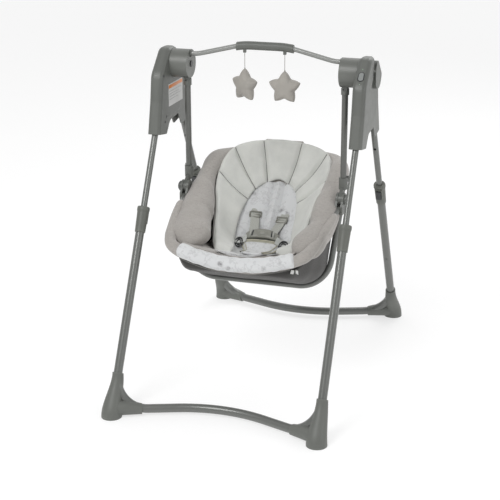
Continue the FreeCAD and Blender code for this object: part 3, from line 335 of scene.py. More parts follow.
def metal(name, colour, roughness=0.3):
    """Turned steel with fine machining lines."""
    paint = Paint(name, roughness, Metallic=1.0)
    lines = paint.noise(500.0, 3.0, paint.stretched((0.05, 1, 1)))
    paint.colour(paint.ramp(lines, ((0.3, shade(colour, 0.8)), (0.7, shade(colour, 1.1)))))
    paint.rough(lines, roughness - 0.1, roughness + 0.15)
    paint.bump(lines, 0.00003, 0.4)
    return paint.material


def weave_height(paint, pitch):
    """Two crossed sets of threads that do not lean on UVs."""
    scale = 1.0 / pitch / math.tau * math.pi
    across = paint.waves(scale, paint.stretched((1, 0.35, 0.35)), "X")
    upward = paint.waves(scale, paint.stretched((0.2, 1, 1)), "DIAGONAL")
    return paint.math("MAXIMUM", across, upward)


def heathered(name, colour, dark, pitch=0.0011):
    """Heathered jersey: mixed yarn, a soft nap and fine threads."""
    paint = Paint(name, 0.92, Sheen_Weight=0.35, Sheen_Roughness=0.45, Specular_IOR_Level=0.2)
    yarn = paint.noise(520.0, 6.0, paint.stretched((1.0, 0.28, 1.0)), 0.7)
    slub = paint.noise(190.0, 4.0, paint.stretched((0.5, 1.0, 1.6)), 0.6)
    mixed = paint.math("ADD", paint.math("MULTIPLY", yarn, 0.6), paint.math("MULTIPLY", slub, 0.4))
    tone = paint.ramp(mixed, ((0.36, dark), (0.50, colour), (0.66, shade(colour, 1.13))))
    patch = paint.ramp(paint.noise(9.0, 3.0), ((0.35, 0.0), (0.7, 0.22)))
    paint.colour(paint.mix(patch, tone, shade(dark, 1.06)))
    paint.bump(paint.noise(16.0, 3.0), 0.0016, 0.5)
    paint.bump(weave_height(paint, pitch), 0.00022, 0.5)
    return paint.material


def velour(name, colour, cool):
    """Short-pile velour whose pile leans in soft patches."""
    paint = Paint(name, 0.9, Sheen_Weight=0.6, Sheen_Roughness=0.35, Specular_IOR_Level=0.15)
    lean = paint.ramp(paint.noise(22.0, 4.0), ((0.35, cool), (0.62, colour)))
    pile = paint.noise(1500.0, 2.0)
    fuzz = paint.ramp(pile, ((0.35, 0.0), (0.7, 0.35)))
    paint.colour(paint.mix(fuzz, lean, shade(colour, 1.10)))
    paint.bump(pile, 0.00020, 0.45)
    paint.bump(paint.noise(30.0, 3.0), 0.0008, 0.4)
    return paint.material


def printed(name, ground, blot, cell=26.0, cover=0.13, vein=0.5):
    """White jersey with soft scattered blots and faint wandering lines, a plain made-up print."""
    paint = Paint(name, 0.88, Sheen_Weight=0.3, Sheen_Roughness=0.4, Specular_IOR_Level=0.2)
    wobble = paint.noise(30.0, 3.0)
    spots = paint.node("ShaderNodeTexVoronoi", feature="SMOOTH_F1")
    spots.inputs["Scale"].default_value = cell
    paint.link(paint.place, spots.inputs["Vector"])
    edge = paint.math("ADD", spots.outputs["Distance"], paint.math("MULTIPLY", wobble, 0.45))
    inside = paint.ramp(edge, ((0.30, 1.0), (0.30 + cover, 0.0)))
    grainy = paint.ramp(paint.noise(170.0, 4.0), ((0.40, 0.25), (0.62, 1.0)))
    share = paint.math("MULTIPLY", inside, grainy)
    wander = paint.ramp(paint.noise(18.0, 6.0, None, 0.7), ((0.470, 0.0), (0.5, vein), (0.530, 0.0)))
    base = paint.mix(paint.math("MULTIPLY", wander, 0.5), ground, shade(blot, 1.25))
    paint.colour(paint.mix(share, base, blot))
    paint.bump(paint.noise(40.0, 3.0), 0.0007, 0.45)
    paint.bump(weave_height(paint, 0.0009), 0.00016, 0.5)
    return paint.material


def woven(name, colour, pitch=0.0016, depth=0.0003):
    """Plain woven tape or canvas."""
    paint = Paint(name, 0.85, Sheen_Weight=0.15, Specular_IOR_Level=0.25)
    threads = weave_height(paint, pitch)
    tone = paint.ramp(threads, ((0.1, shade(colour, 0.72)), (0.9, shade(colour, 1.08))))
    soil = paint.ramp(paint.noise(25.0, 4.0), ((0.4, 0.0), (0.7, 0.18)))
    paint.colour(paint.mix(soil, tone, shade(colour, 0.8)))
    paint.bump(threads, depth, 0.8)
    return paint.material


GREY = (0.112, 0.117, 0.107)
MAT = {
    "frame_plastic": moulded("frame_plastic", GREY),
    "shoe_plastic": moulded("shoe_plastic", (0.138, 0.144, 0.131), 0.5, 700.0, 0.00009),
    "collar_plastic": moulded("collar_plastic", (0.122, 0.127, 0.112), 0.48),
    "hub_plastic": moulded("hub_plastic", (0.125, 0.130, 0.119), 0.4),
    "tube_paint": enamelled("tube_paint", (0.160, 0.165, 0.155), 0.30, 0.33),
    "bar_paint": enamelled("bar_paint", (0.265, 0.27, 0.258), 0.2, 0.34),
    "arm_paint": enamelled("arm_paint", (0.125, 0.129, 0.120), 0.25, 0.38),
    "steel": metal("steel", (0.55, 0.56, 0.57)),
    "copper": metal("copper", (0.72, 0.36, 0.18)),
    "dark_plastic": moulded("dark_plastic", (0.025, 0.026, 0.027), 0.35),
    "button_plastic": moulded("button_plastic", (0.22, 0.23, 0.225), 0.16, depth=0.00002),
    "grip_plastic": moulded("grip_plastic", (0.118, 0.123, 0.112), 0.5, 500.0, 0.0001),
    "buckle_plastic": moulded("buckle_plastic", (0.245, 0.245, 0.215), 0.4),
    "cell_case": enamelled("cell_case", (0.06, 0.09, 0.16)),
    "board": woven("board", (0.16, 0.15, 0.14), 0.003),
    "bolster_cloth": heathered("bolster_cloth", (0.390, 0.368, 0.344), (0.318, 0.300, 0.282)),
    "pale_velour": velour("pale_velour", (0.650, 0.655, 0.622), (0.575, 0.582, 0.554)),
    "print_cloth": printed("print_cloth", (0.66, 0.668, 0.672), (0.27, 0.265, 0.270), 30.0, 0.17, 0.7),
    "sling_cloth": woven("sling_cloth", (0.072, 0.070, 0.067), 0.0022, 0.0004),
    "webbing": woven("webbing", (0.45, 0.455, 0.42), 0.0014),
    "waist_webbing": woven("waist_webbing", (0.56, 0.57, 0.55), 0.0014),
    "star_cloth": velour("star_cloth", (0.370, 0.350, 0.320), (0.300, 0.286, 0.264)),
    "piping": woven("piping", (0.52, 0.50, 0.40), 0.001),
    "dark_thread": woven("dark_thread", (0.20, 0.20, 0.188), 0.0008),
    "string": woven("string", (0.35, 0.34, 0.31), 0.0008),
    "tag": woven("tag", (0.80, 0.80, 0.78), 0.0008),
    "label_film": moulded("label_film", (0.52, 0.52, 0.51), 0.4, depth=0.00001, wear=0.05),
    "label_band": moulded("label_band", (0.62, 0.20, 0.05), 0.4, depth=0.00001, wear=0.05),
    "label_rule": moulded("label_rule", (0.30, 0.30, 0.30), 0.4, depth=0.00001, wear=0.05),
}
lens = Paint("lens_glass", 0.08, Transmission_Weight=0.6, IOR=1.46)
lens.colour(lens.ramp(lens.noise(300.0), ((0.3, (0.55, 0.75, 0.55)), (0.7, (0.7, 0.85, 0.7)))))
MAT["lens"] = lens.material

SHOWN_AS = {
    "front_shoes": "shoe_plastic", "rear_shoes": "shoe_plastic", "swing_arm_tubes": "arm_paint",
    "hangers": "frame_plastic", "toy_bar": "bar_paint", "pivot_axles": "dark_plastic",
    # The housing screws are dressed in near-black plastic: painted shade of the recesses they sit in.
    "housing_screws": "dark_plastic",
    "seat_pan": "bolster_cloth",
}
slots = {part["node"]: part["material_slot"] for part in frame["record"]["subparts"]}
for name, node in nodes.items():
    dress(node, MAT[SHOWN_AS.get(name, slots[name])])


# ---------------------------------------------------------------- mesh helpers
def smooth_line(points, count):
    """Points spaced along a smooth curve through the given points."""
    points = np.array(points, float)
    chord = np.concatenate(([0], np.cumsum(np.linalg.norm(np.diff(points[:, :3], axis=0), axis=1))))
    slope = np.gradient(points, chord, axis=0)
    at = np.linspace(0, chord[-1], count)
    index = np.clip(np.searchsorted(chord, at, side="right") - 1, 0, len(points) - 2)
    span = (chord[index + 1] - chord[index])[:, None]
    t = ((at - chord[index]) / span[:, 0])[:, None]
    p0, p1, m0, m1 = points[index], points[index + 1], slope[index] * span, slope[index + 1] * span
    return ((2 * t**3 - 3 * t**2 + 1) * p0 + (t**3 - 2 * t**2 + t) * m0
            + (-2 * t**3 + 3 * t**2) * p1 + (t**3 - t**2) * m1)


def mirrored_line(half):
    """A line from the right front end over the middle to the left front end."""
    half = [tuple(p) for p in half]
    return half + [(-p[0], *p[1:]) for p in reversed(half[:-1])]


def grid_faces(rows, columns):
    """Faces of a grid whose columns close round."""
    faces = []
    for row in range(rows - 1):
        for column in range(columns):
            after = (column + 1) % columns
            faces.append((row * columns + column, row * columns + after,
                          (row + 1) * columns + after, (row + 1) * columns + column))
    return faces


def shade_smooth(mesh):
    mesh.polygons.foreach_set("use_smooth", [True] * len(mesh.polygons))


def make_piece(name, rings, material, body):
    """A closed piece through rings of points, in mm."""
    points, faces = tube_through_rings(rings)
    mesh = bpy.data.meshes.new(name)
    mesh.from_pydata([tuple(p) for p in np.array(points, float) * MM], [], faces)
    mesh.validate()
    shade_smooth(mesh)
    mesh.materials.append(MAT[material])
    piece = placed(name, mesh)
    bpy.context.view_layer.update()
    fix_normals(piece)
    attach(piece, body)
    return piece


def fix_normals(piece):
    bpy.context.view_layer.objects.active = piece
    piece.select_set(True)
    bpy.ops.object.mode_set(mode="EDIT")
    bpy.ops.mesh.select_all(action="SELECT")
    bpy.ops.mesh.normals_make_consistent(inside=False)
    bpy.ops.object.mode_set(mode="OBJECT")
    piece.select_set(False)


def tube_through_rings(rings):
    """Faces and points of a closed form whose cross sections are equal rings of points."""
    rings = np.array(rings, float)
    rows, columns = rings.shape[:2]
    faces = grid_faces(rows, columns)
    points = rings.reshape(-1, 3)
    for row, turned in ((0, True), (rows - 1, False)):
        ring = list(range(row * columns, (row + 1) * columns))
        points = np.vstack((points, rings[row].mean(axis=0)))
        middle = len(points) - 1
        for column in range(columns):
            pair = (ring[column], ring[(column + 1) % columns])
            faces.append((middle, *(reversed(pair) if turned else pair)))
    return points, faces


def subdivide(piece):
    modifier = piece.modifiers.new("smooth", "SUBSURF")
    modifier.levels = modifier.render_levels = 1
    apply_modifiers(piece)


def apply_modifiers(piece):
    shown = piece.evaluated_get(bpy.context.evaluated_depsgraph_get())
    mesh = bpy.data.meshes.new_from_object(shown)
    piece.modifiers.clear()
    piece.data = mesh


def vertex_values(piece, field):
    """One vector for each vertex: its place (co) or its normal."""
    values = np.zeros(len(piece.data.vertices) * 3)
    piece.data.vertices.foreach_get(field, values)
    return values.reshape(-1, 3)


def add_remesh(piece, voxel):
    modifier = piece.modifiers.new("remesh", "REMESH")
    modifier.mode = "VOXEL"
    modifier.voxel_size = voxel * MM
    modifier.use_smooth_shade = True


def puff(piece, cap, pressure, voxel, shrink):
    """Fill a closed form with air by cloth simulation; no point moves further than cap, in mm."""
    material = piece.data.materials[0]
    add_remesh(piece, voxel)
    apply_modifiers(piece)
    start = vertex_values(piece, "co") - vertex_values(piece, "normal") * shrink * MM
    piece.data.vertices.foreach_set("co", start.ravel())
    cloth = piece.modifiers.new("cloth", "CLOTH")
    cloth.settings.use_pressure = True
    cloth.settings.uniform_pressure_force = pressure
    cloth.settings.effector_weights.gravity = 0
    cloth.settings.quality = 5
    cloth.settings.tension_stiffness = cloth.settings.compression_stiffness = 12
    cloth.settings.bending_stiffness = 0.4
    cloth.collision_settings.use_collision = False
    cloth.point_cache.frame_end = CLOTH_FRAMES
    scene = bpy.context.scene
    for number in range(1, CLOTH_FRAMES + 1):
        scene.frame_set(number)
    apply_modifiers(piece)
    scene.frame_set(1)
    move = vertex_values(piece, "co") - start
    length = np.linalg.norm(move, axis=1, keepdims=True)
    move *= np.minimum(1.0, cap * MM / np.maximum(length, 1e-9))
    piece.data.vertices.foreach_set("co", (start + move).ravel())
    piece.data.update()
    subdivide(piece)
    dress(piece, material)
    shade_smooth(piece.data)


def displace(piece, shift):
    """Move each point along its normal by shift(points in mm), in mm."""
    place = vertex_values(piece, "co")
    place += vertex_values(piece, "normal") * (shift(place / MM) * MM)[:, None]
    piece.data.vertices.foreach_set("co", place.ravel())
    piece.data.update()


# ---------------------------------------------------------------- the lying surface
def lie_line():
    """The lying line as many points (y, z), its bends rounded."""
    points = [np.array(c[:2], float) for c in LIE_CORNERS]
    line = [points[0]]
    for before, at, after, corner in zip(points, points[1:], points[2:], LIE_CORNERS[1:]):
        radius = corner[2]
        back = (before - at) / np.linalg.norm(before - at)
        ahead = (after - at) / np.linalg.norm(after - at)
        half = math.acos(float(back @ ahead)) / 2
        reach = radius / math.tan(half)
        for t in np.linspace(0, 1, 12):
            start, end = at + back * reach, at + ahead * reach
            line.append((1 - t) ** 2 * start + 2 * t * (1 - t) * at + t**2 * end)
    line.append(points[-1])
    return np.array(line)


LINE = lie_line()


def on_seat(x, y, lift=0.0, dish=DISH):
    """The point over (x, y) on the lying surface, lifted off it; arrays or numbers."""
    x, y = np.broadcast_arrays(np.asarray(x, float), np.asarray(y, float))
    z = np.interp(y, LINE[:, 0], LINE[:, 1])
    slope = np.gradient(LINE[:, 1], LINE[:, 0])
    steep = np.interp(y, LINE[:, 0], slope)
    length = np.sqrt(1 + steep**2)
    rise = dish * x**2 + lift
    return np.stack((x, y - rise * steep / length, z + rise / length), axis=-1)


# ---------------------------------------------------------------- liner, panel and floor pad
def spread(line, knots, counts):
    """Rows along a line so that a set number of them falls between each two knots."""
    dense = smooth_line(line, 1200)
    places = [int(np.argmin(np.linalg.norm(dense - np.array(line[knot]), axis=1))) for knot in knots]
    rows = [np.linspace(a, b, count, endpoint=False) for a, b, count in zip(places, places[1:], counts)]
    at = np.concatenate(rows + [[places[-1]]])
    below = np.clip(at.astype(int), 0, len(dense) - 2)
    return dense[below] + (dense[below + 1] - dense[below]) * (at - below)[:, None]


def both_knots(half, total):
    return list(half) + [total - 1 - k for k in reversed(half)]


def liner_lines():
    rim = np.array(mirrored_line(RIM), float)
    edge = np.array(mirrored_line(INNER), float)
    for line in (rim, edge):
        line[:, 0] += RIGHT_SPREAD * (line[:, 0] > 0) * np.clip((10 - line[:, 1]) / 150, 0, 1)
    inner = np.array([on_seat(x, y, LINER_LIFT) for x, y in edge])
    rim_rows = spread(rim, both_knots((0,) + RIM_SEAMS, len(rim)), LINER_ROWS)
    inner_rows = spread(inner, both_knots((0,) + INNER_SEAMS, len(inner)), LINER_ROWS)
    seams = np.cumsum(LINER_ROWS)[:-1]
    return rim_rows, inner_rows, seams


def liner():
    """The velour pad round the panel: seven channels between stitched seams."""
    rim, inner, seams = liner_lines()
    rows = len(rim)
    middle = (inner + rim) / 2
    along = np.gradient(middle, axis=0)
    across = rim - inner
    normal = np.cross(along, across)
    normal /= np.linalg.norm(normal, axis=1, keepdims=True)
    normal *= np.sign(np.sum(normal * (np.array(CHILD, float) - middle), axis=1))[:, None]
    travel = np.concatenate(([0], np.cumsum(np.linalg.norm(np.diff(middle, axis=0), axis=1))))
    gap = np.min(np.abs(travel[:, None] - travel[seams][None, :]), axis=1)
    crown = 1 - SEAM_DEPTH * np.exp(-(gap / SEAM_WIDTH) ** 1.5) + 0.10 * np.minimum(gap / 40.0, 1)
    from_end = np.minimum(travel, travel[-1] - travel)
    end = np.clip(from_end / 13.0, 0.02, 1) ** 0.45
    wrap = np.clip((from_end - 150.0) / 90.0, 0, 1)
    width = np.linalg.norm(across, axis=1)
    rings = []
    for row in range(rows):
        ring = []
        loft = LINER_LOFT * crown[row] * end[row]
        for turn in np.linspace(0, math.tau, 48, endpoint=False):
            v = 0.5 - 0.5 * math.copysign(abs(math.cos(turn)) ** 0.78, math.cos(turn))
            sink = -0.10 * width[row] * 4 * v * (1 - v)
            if math.sin(turn) >= 0:
                thick = loft * abs(math.sin(turn)) ** 0.55
            else:
                thick = -(5.0 + 15.0 * wrap[row] * v) * abs(math.sin(turn)) ** 0.7 * end[row]
            ring.append(inner[row] + across[row] * v + normal[row] * (sink + thick))
        rings.append(ring)
    piece = make_piece("liner", rings, "pale_velour", "seat")
    subdivide(piece)
    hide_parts("seat_insert")
    top = np.array(rings)
    threads = [top[row][2:23] + 1.6 * normal[row] for row in seams]
    thread("liner_seams", threads, 1.0, "dark_thread")
    hem = [top[row][23] for row in range(2, rows - 2)]
    thread("liner_edge", [hem], 1.5, "pale_velour")


def round_curve(name, radius, resolution, material):
    """A curve with a round section; radius in metres."""
    curve = bpy.data.curves.new(name, "CURVE")
    curve.dimensions = "3D"
    curve.bevel_depth = radius
    curve.bevel_resolution = resolution
    curve.materials.append(MAT[material])
    return curve


def thread(name, lines, radius, material):
    """Stitching or piping along one or more lines, in mm."""
    curve = round_curve(name, radius * MM, 2, material)
    for line in lines:
        spline = curve.splines.new("POLY")
        spline.points.add(len(line) - 1)
        for point, place in zip(spline.points, line):
            point.co = (*(np.array(place) * MM), 1)
    piece = placed(name, curve)
    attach(piece, "seat")


def sheet_on_seat(name, outline, lift, thickness, material, rows=60, columns=33, dish=DISH, wrinkle=0.0):
    """A pad on the lying surface. outline gives y and half width, front to back."""
    outline = np.array(outline, float)
    at = np.linspace(outline[0, 0], outline[-1, 0], rows)
    half = np.interp(at, outline[:, 0], outline[:, 1])
    rings = []
    for row, y in enumerate(at):
        u = np.linspace(-1, 1, columns)
        ends = np.clip(min(row, rows - 1 - row) / 2.5, 0, 1) ** 0.5
        edge = (1 - np.abs(u) ** 8) ** 0.5
        x = u * half[row]
        wave = wrinkle * (np.sin(0.05 * y + 3 * u) + np.sin(0.11 * y - 5 * u + 1.3)) * edge
        top = on_seat(x, y, lift + (thickness * edge + wave) * ends, dish)
        under = on_seat(x[::-1], y, lift, dish)
        rings.append(np.vstack((top, under[1:-1])))
    piece = make_piece(name, rings, material, "seat")
    subdivide(piece)
    return piece


def panel():
    """The printed middle panel, arched at the head and creased down its middle."""
    piece = sheet_on_seat("printed_middle", PANEL, 0.0, 3.0, "print_cloth", rows=110, columns=57, wrinkle=0.6)

    def creases(p):
        fade = 1 / (1 + np.exp(-(p[:, 1] - 5) / 14))
        trough = -12.0 * np.exp(-((p[:, 0] - 4) / 14.0) ** 2)
        ridges = 4.5 * np.exp(-((np.abs(p[:, 0] - 4) - 33) / 17.0) ** 2)
        line = -1.6 * np.exp(-((p[:, 0] - 6) / 2.2) ** 2)
        return fade * (trough + ridges + line)

    displace(piece, creases)
    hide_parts("printed_panel")
    welt = mirrored_line([tuple(on_seat(x, y, 5.0)) for x, y in INNER[1:]])
    thread("panel_seam", [smooth_line(welt, 160)], 0.9, "dark_thread")


def seat_floor():
    """The plain cloth between the liner and the bolster."""
    piece = sheet_on_seat("seat_floor", SEAT_FLOOR, -5.0, 6.0, "bolster_cloth", dish=FLOOR_DISH, wrinkle=0.8)


# ---------------------------------------------------------------- bolster and front roll
def sausage(line, radii, turns=48, square=1.0, cap_rows=5):
    """Rings round a line; radii gives each ring's half width and half height."""
    along = np.gradient(line, axis=0)
    along /= np.linalg.norm(along, axis=1, keepdims=True)
    side = np.cross(along, (0, -0.28, 1.0))
    side /= np.linalg.norm(side, axis=1, keepdims=True)
    upward = np.cross(side, along)
    turn = np.linspace(0, math.tau, turns, endpoint=False)
    c = np.sign(np.cos(turn)) * np.abs(np.cos(turn)) ** square
    s = np.sign(np.sin(turn)) * np.abs(np.sin(turn)) ** square
    rings = []
    for row in range(len(line)):
        end = min(1.0, (min(row, len(line) - 1 - row) + 0.3) / cap_rows) ** 0.5
        rings.append(line[row] + end * (np.outer(c * radii[row, 0], side[row])
                                        + np.outer(s * radii[row, 1], upward[row])))
    return rings


def bolster():
    """The thick soft wall round the liner, gathered into slow folds."""
    line = smooth_line(mirrored_line(BOLSTER), 141)
    spread_out = BOLSTER_SPREAD * (line[:, 0] > 0) * np.clip(-line[:, 1] / 110, 0, 1)
    line[:, 0] += spread_out
    line[:, 3] -= spread_out
    rings = sausage(line[:, :3], line[:, 3:5], square=0.9)
    piece = make_piece("bolster", rings, "bolster_cloth", "seat")
    puff(piece, 7.0, 4.0, 6.0, 3.0)

    def folds(p):
        turn = np.arctan2(p[:, 0], p[:, 1] + 20)
        slow = np.sin(turn * 7 + 0.02 * p[:, 2]) * np.sin(turn * 2.7 + 1.1)
        pull = np.exp(-((np.abs(turn) - 2.05) / 0.10) ** 2)
        pull = pull + 0.7 * np.exp(-((np.abs(turn) - 1.35) / 0.12) ** 2)
        small = np.sin(turn * 19 + 0.05 * p[:, 2] + 0.7) * np.sin(0.045 * p[:, 2] + 2 * turn)
        return 2.2 * slow + 0.6 * small - 4.5 * pull

    displace(piece, folds)
    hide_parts("seat_bolster")


def front_roll():
    """The printed roll at the front of the seat, round the front loop."""
    line = smooth_line(mirrored_line(ROLL), 81)
    rings = sausage(line, np.full((81, 2), ROLL_R), 36, cap_rows=2)
    piece = make_piece("front_roll", rings, "print_cloth", "seat")
    puff(piece, 5.0, 3.0, 5.0, 2.0)
    displace(piece, lambda p: 0.9 * np.sin(p[:, 0] * 0.085 + 0.06 * p[:, 2])
             * np.sin(p[:, 0] * 0.031 + 0.7) + 0.5 * np.sin(p[:, 0] * 0.21 + p[:, 2] * 0.1))
    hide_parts("knee_roll")
    seam = [row + np.array((0, -6.0, -ROLL_R - 0.6)) for row in line[3:-3]]
    thread("roll_seam", [seam], 1.0, "dark_thread")


def front_hem():
    """The sleeve of bolster cloth under the front roll and back along the front loop."""
    line = smooth_line(mirrored_line(HEM), 121)
    size = 10.0 + 6.5 * (1 - np.linspace(-1, 1, 121) ** 2)
    rings = sausage(line, np.stack((size, size), axis=1), 32, cap_rows=3)
    piece = make_piece("front_hem", rings, "bolster_cloth", "seat")
    displace(piece, lambda p: 0.8 * np.sin(p[:, 0] * 0.07 + 0.05 * p[:, 2]))
    subdivide(piece)


def sling():
    """The dark canvas bucket under the pads; its rear wall is backed by a copy of the board."""
    mesh = nodes["seat_sling"].data.copy()
    mesh.name = "under_sling"
    back = bmesh.new()
    back.from_mesh(nodes["seat_pan"].data)
    bmesh.ops.remove_doubles(back, verts=back.verts, dist=0.01 * MM)
    everything = list(back.verts) + list(back.edges) + list(back.faces)
    bmesh.ops.bisect_plane(back, geom=everything, plane_co=(0, 0, SLING_BACK_TOP * MM), plane_no=(0, 0, 1),
                           clear_outer=True)
    bmesh.ops.holes_fill(back, edges=[edge for edge in back.edges if edge.is_boundary])
    back.normal_update()
    for vertex in back.verts:
        vertex.co += vertex.normal * SLING_BACK_GROW * MM
    lining = bpy.data.meshes.new("sling_lining")
    back.to_mesh(lining)
    back.free()
    both = bmesh.new()
    both.from_mesh(mesh)
    both.from_mesh(lining)
    both.to_mesh(mesh)
    both.free()
    piece = placed("under_sling", mesh)
    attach(piece, "seat")
    add_remesh(piece, SLING_VOXEL)
    relax = piece.modifiers.new("relax", "SMOOTH")
    relax.factor = 0.6
    relax.iterations = 22
    apply_modifiers(piece)

    def slack(p):
        wide = np.sin(p[:, 0] * 0.045) * np.sin(p[:, 1] * 0.05 + p[:, 2] * 0.04)
        return 0.9 * wide + 0.5 * np.sin(p[:, 0] * 0.03 + p[:, 1] * 0.09)

    displace(piece, slack)
    dress(piece, MAT["sling_cloth"])
    shade_smooth(piece.data)
    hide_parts("seat_sling")


# ---------------------------------------------------------------- harness
def ribbon(name, route, width, thickness, material):
    """A flat strap through points (x, y, lift) over the seat."""
    line = smooth_line(route, 44)
    ahead = np.gradient(line[:, :2], axis=0)
    ahead /= np.linalg.norm(ahead, axis=1, keepdims=True)
    side = np.stack((-ahead[:, 1], ahead[:, 0]), axis=1) * width / 2
    profile = ((-1, 0), (-1, 1), (-0.86, 1.3), (-0.5, 1.2), (0, 1.2), (0.5, 1.2), (0.86, 1.3), (1, 1), (1, 0),
               (0.5, -0.05), (-0.5, -0.05))
    rings = []
    for (x, y, lift), (dx, dy) in zip(line, side):
        base = on_seat(x, y, 0)
        flat = (on_seat(x + dx, y + dy, 0) - on_seat(x - dx, y - dy, 0)) / 2
        flat = flat / np.linalg.norm(flat) * width / 2
        out = on_seat(x, y, 1.0) - base
        rings.append([base + flat * u + out * (lift + h * thickness) for u, h in profile])
    piece = make_piece(name, rings, material, "seat")
    subdivide(piece)
    return piece


def torus(name, radius, bar, segments, place, turn, scale, material, body):
    """A small ring; radius, bar and place in mm."""
    bpy.ops.mesh.primitive_torus_add(major_radius=radius * MM, minor_radius=bar * MM,
                                     major_segments=segments[0], minor_segments=segments[1])
    piece = bpy.context.object
    piece.name = name
    piece.scale = scale
    piece.location = Vector(place) * MM
    piece.rotation_euler = turn
    bpy.ops.object.shade_smooth()
    piece.data.materials.append(MAT[material])
    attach(piece, body)


def rounded_block(name, half, place, turn, material, body="seat", bevel=1.2, cuts=3):
    """A softened block: half sizes in mm, turned by three angles and put in place."""
    mesh = bpy.data.meshes.new(name)
    form = bmesh.new()
    bmesh.ops.create_cube(form, size=2)
    bmesh.ops.scale(form, vec=Vector(half) * MM, verts=form.verts)
    bmesh.ops.bevel(form, geom=list(form.edges), offset=bevel * MM, segments=cuts, affect="EDGES")
    form.to_mesh(mesh)
    form.free()
    shade_smooth(mesh)
    mesh.materials.append(MAT[material])
    piece = placed(name, mesh)
    piece.rotation_euler = turn
    piece.location = Vector(place) * MM
    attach(piece, body)
    return piece


def tilt_at(y):
    """The lying surface's tilt at y, as a turn about X."""
    return math.atan(np.interp(y, LINE[:, 0], np.gradient(LINE[:, 1], LINE[:, 0])))


def slide(word, x, y, turn):
    """A double-bar strap slide."""
    tilt = tilt_at(y)
    bars = []
    for index, (shift, lift) in enumerate(((-6.0, 11.0), (0.0, 9.0), (6.0, 11.0))):
        place = on_seat(x, y + shift, lift)
        bars.append(rounded_block(f"{word}_slide_bar_{index}", (SLIDE_HALF, SLIDE_BAR, SLIDE_BAR), place,
                                  (tilt, 0, turn), "buckle_plastic"))
    for end in (-1, 1):
        place = on_seat(x + end * 14.6 * math.cos(turn), y + end * 14.6 * math.sin(turn), 10.2)
        rounded_block(f"{word}_slide_end_{end + 1}", (1.9, 7.6, 2.2), place, (tilt, 0, turn),
                      "buckle_plastic")
    return bars[0]


def harness():
    shoulders = [ribbon(word + "_shoulder_strap", route, SHOULDER_WIDTH, STRAP_THICKNESS, "webbing")
                 for word, route in SHOULDER_ROUTES]
    waist = [ribbon(word + "_waist_strap", [(side * x, y, lift) for x, y, lift in WAIST_ROUTE], WAIST_WIDTH,
                    STRAP_THICKNESS, "waist_webbing") for word, side in SIDES]
    slides = [slide(*each) for each in SLIDES]
    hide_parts("shoulder_straps")
    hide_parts("waist_straps")
    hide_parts("strap_slides")
    for word, side in SIDES:
        for index, (radius, bar) in enumerate(HIP_RINGS):
            place = on_seat(side * HIP_RING_X, HIP_RING_Y, HIP_RING_LIFT)
            torus(f"{word}_hip_ring_{index}", radius, bar, (48, 14), place, (0.75, side * 0.35, 0),
                  (0.9, 1.15, 0.9), "dark_plastic", "seat")


def buckle():
    """The arched buckle with a centre boss and a slot near each end."""
    up, out = np.array((0, 0.70, 0.71)), np.array((0, -0.71, 0.70))
    rings = []
    for x in np.linspace(-BUCKLE_HALF, BUCKLE_HALF, 71):
        u = x / BUCKLE_HALF
        centre = np.array((x, BUCKLE_PLACE[1] - 5.0 * u**2, BUCKLE_PLACE[2] - 10.0 * abs(u) ** 2.4))
        end = min(1.0, (BUCKLE_HALF - abs(x)) / 4.0 + 0.12) ** 0.5
        half = (13.5 - 5.5 * abs(u) ** 3) * end
        turn = np.linspace(0, math.tau, 32, endpoint=False)
        a = np.sign(np.cos(turn)) * np.abs(np.cos(turn)) ** 0.55
        b = np.sign(np.sin(turn)) * np.abs(np.sin(turn)) ** 0.55
        rings.append(centre + np.outer(a * half, up) + np.outer(b * (6.5 + 2.0 * (1 - u**2)) * end, out))
    piece = make_piece("buckle_body", rings, "buckle_plastic", "seat")
    subdivide(piece)

    def carve(p):
        rise = (p - BUCKLE_PLACE) @ up
        front = 1 / (1 + np.exp(-((p - BUCKLE_PLACE) @ out)))
        slots = sum(np.exp(-((p[:, 0] - side * SLOT_X) / 2.6) ** 4) for side in (-1, 1))
        slots = slots * (np.abs(rise) < 9)
        moat = np.exp(-((np.hypot(p[:, 0] / 17, rise / 11) - 1) / 0.09) ** 2)
        return -front * (2.6 * slots + 1.3 * moat)

    displace(piece, carve)
    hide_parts("buckle")
    for word, side in SIDES:
        place = np.array((side * SLOT_X, -19, 367)) + out * 8.2
        turn = (BUCKLE_TILT, 0, side * 0.1)
        rounded_block(f"{word}_buckle_tongue", (2.6, 8.5, 2.6), place, turn, "webbing",
                      bevel=1.0)
        # A near-black bar beside each tongue stands for the slot's opening: painted shade of the hole.
        place = np.array((side * 26, -18, 369)) + out * 7.4
        rounded_block(f"{word}_buckle_slot_shade", (1.6, 8.5, 1.6), place, turn, "dark_plastic",
                      bevel=0.6)
    rings = []
    for share in np.linspace(0, 1, 10):
        radius, rise = math.cos(share * math.pi / 2) ** 0.6, math.sin(share * math.pi / 2) ** 0.8
        turn = np.linspace(0, math.tau, 36, endpoint=False)
        centre = BUCKLE_PLACE + out * (6.5 + 4.5 * rise)
        rings.append(centre + np.outer(12.5 * radius * np.cos(turn), (1, 0, 0))
                     + np.outer(8.0 * radius * np.sin(turn), up))
    key = make_piece("buckle_push", rings, "buckle_plastic", "buckle_key")
    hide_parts("buckle_button")


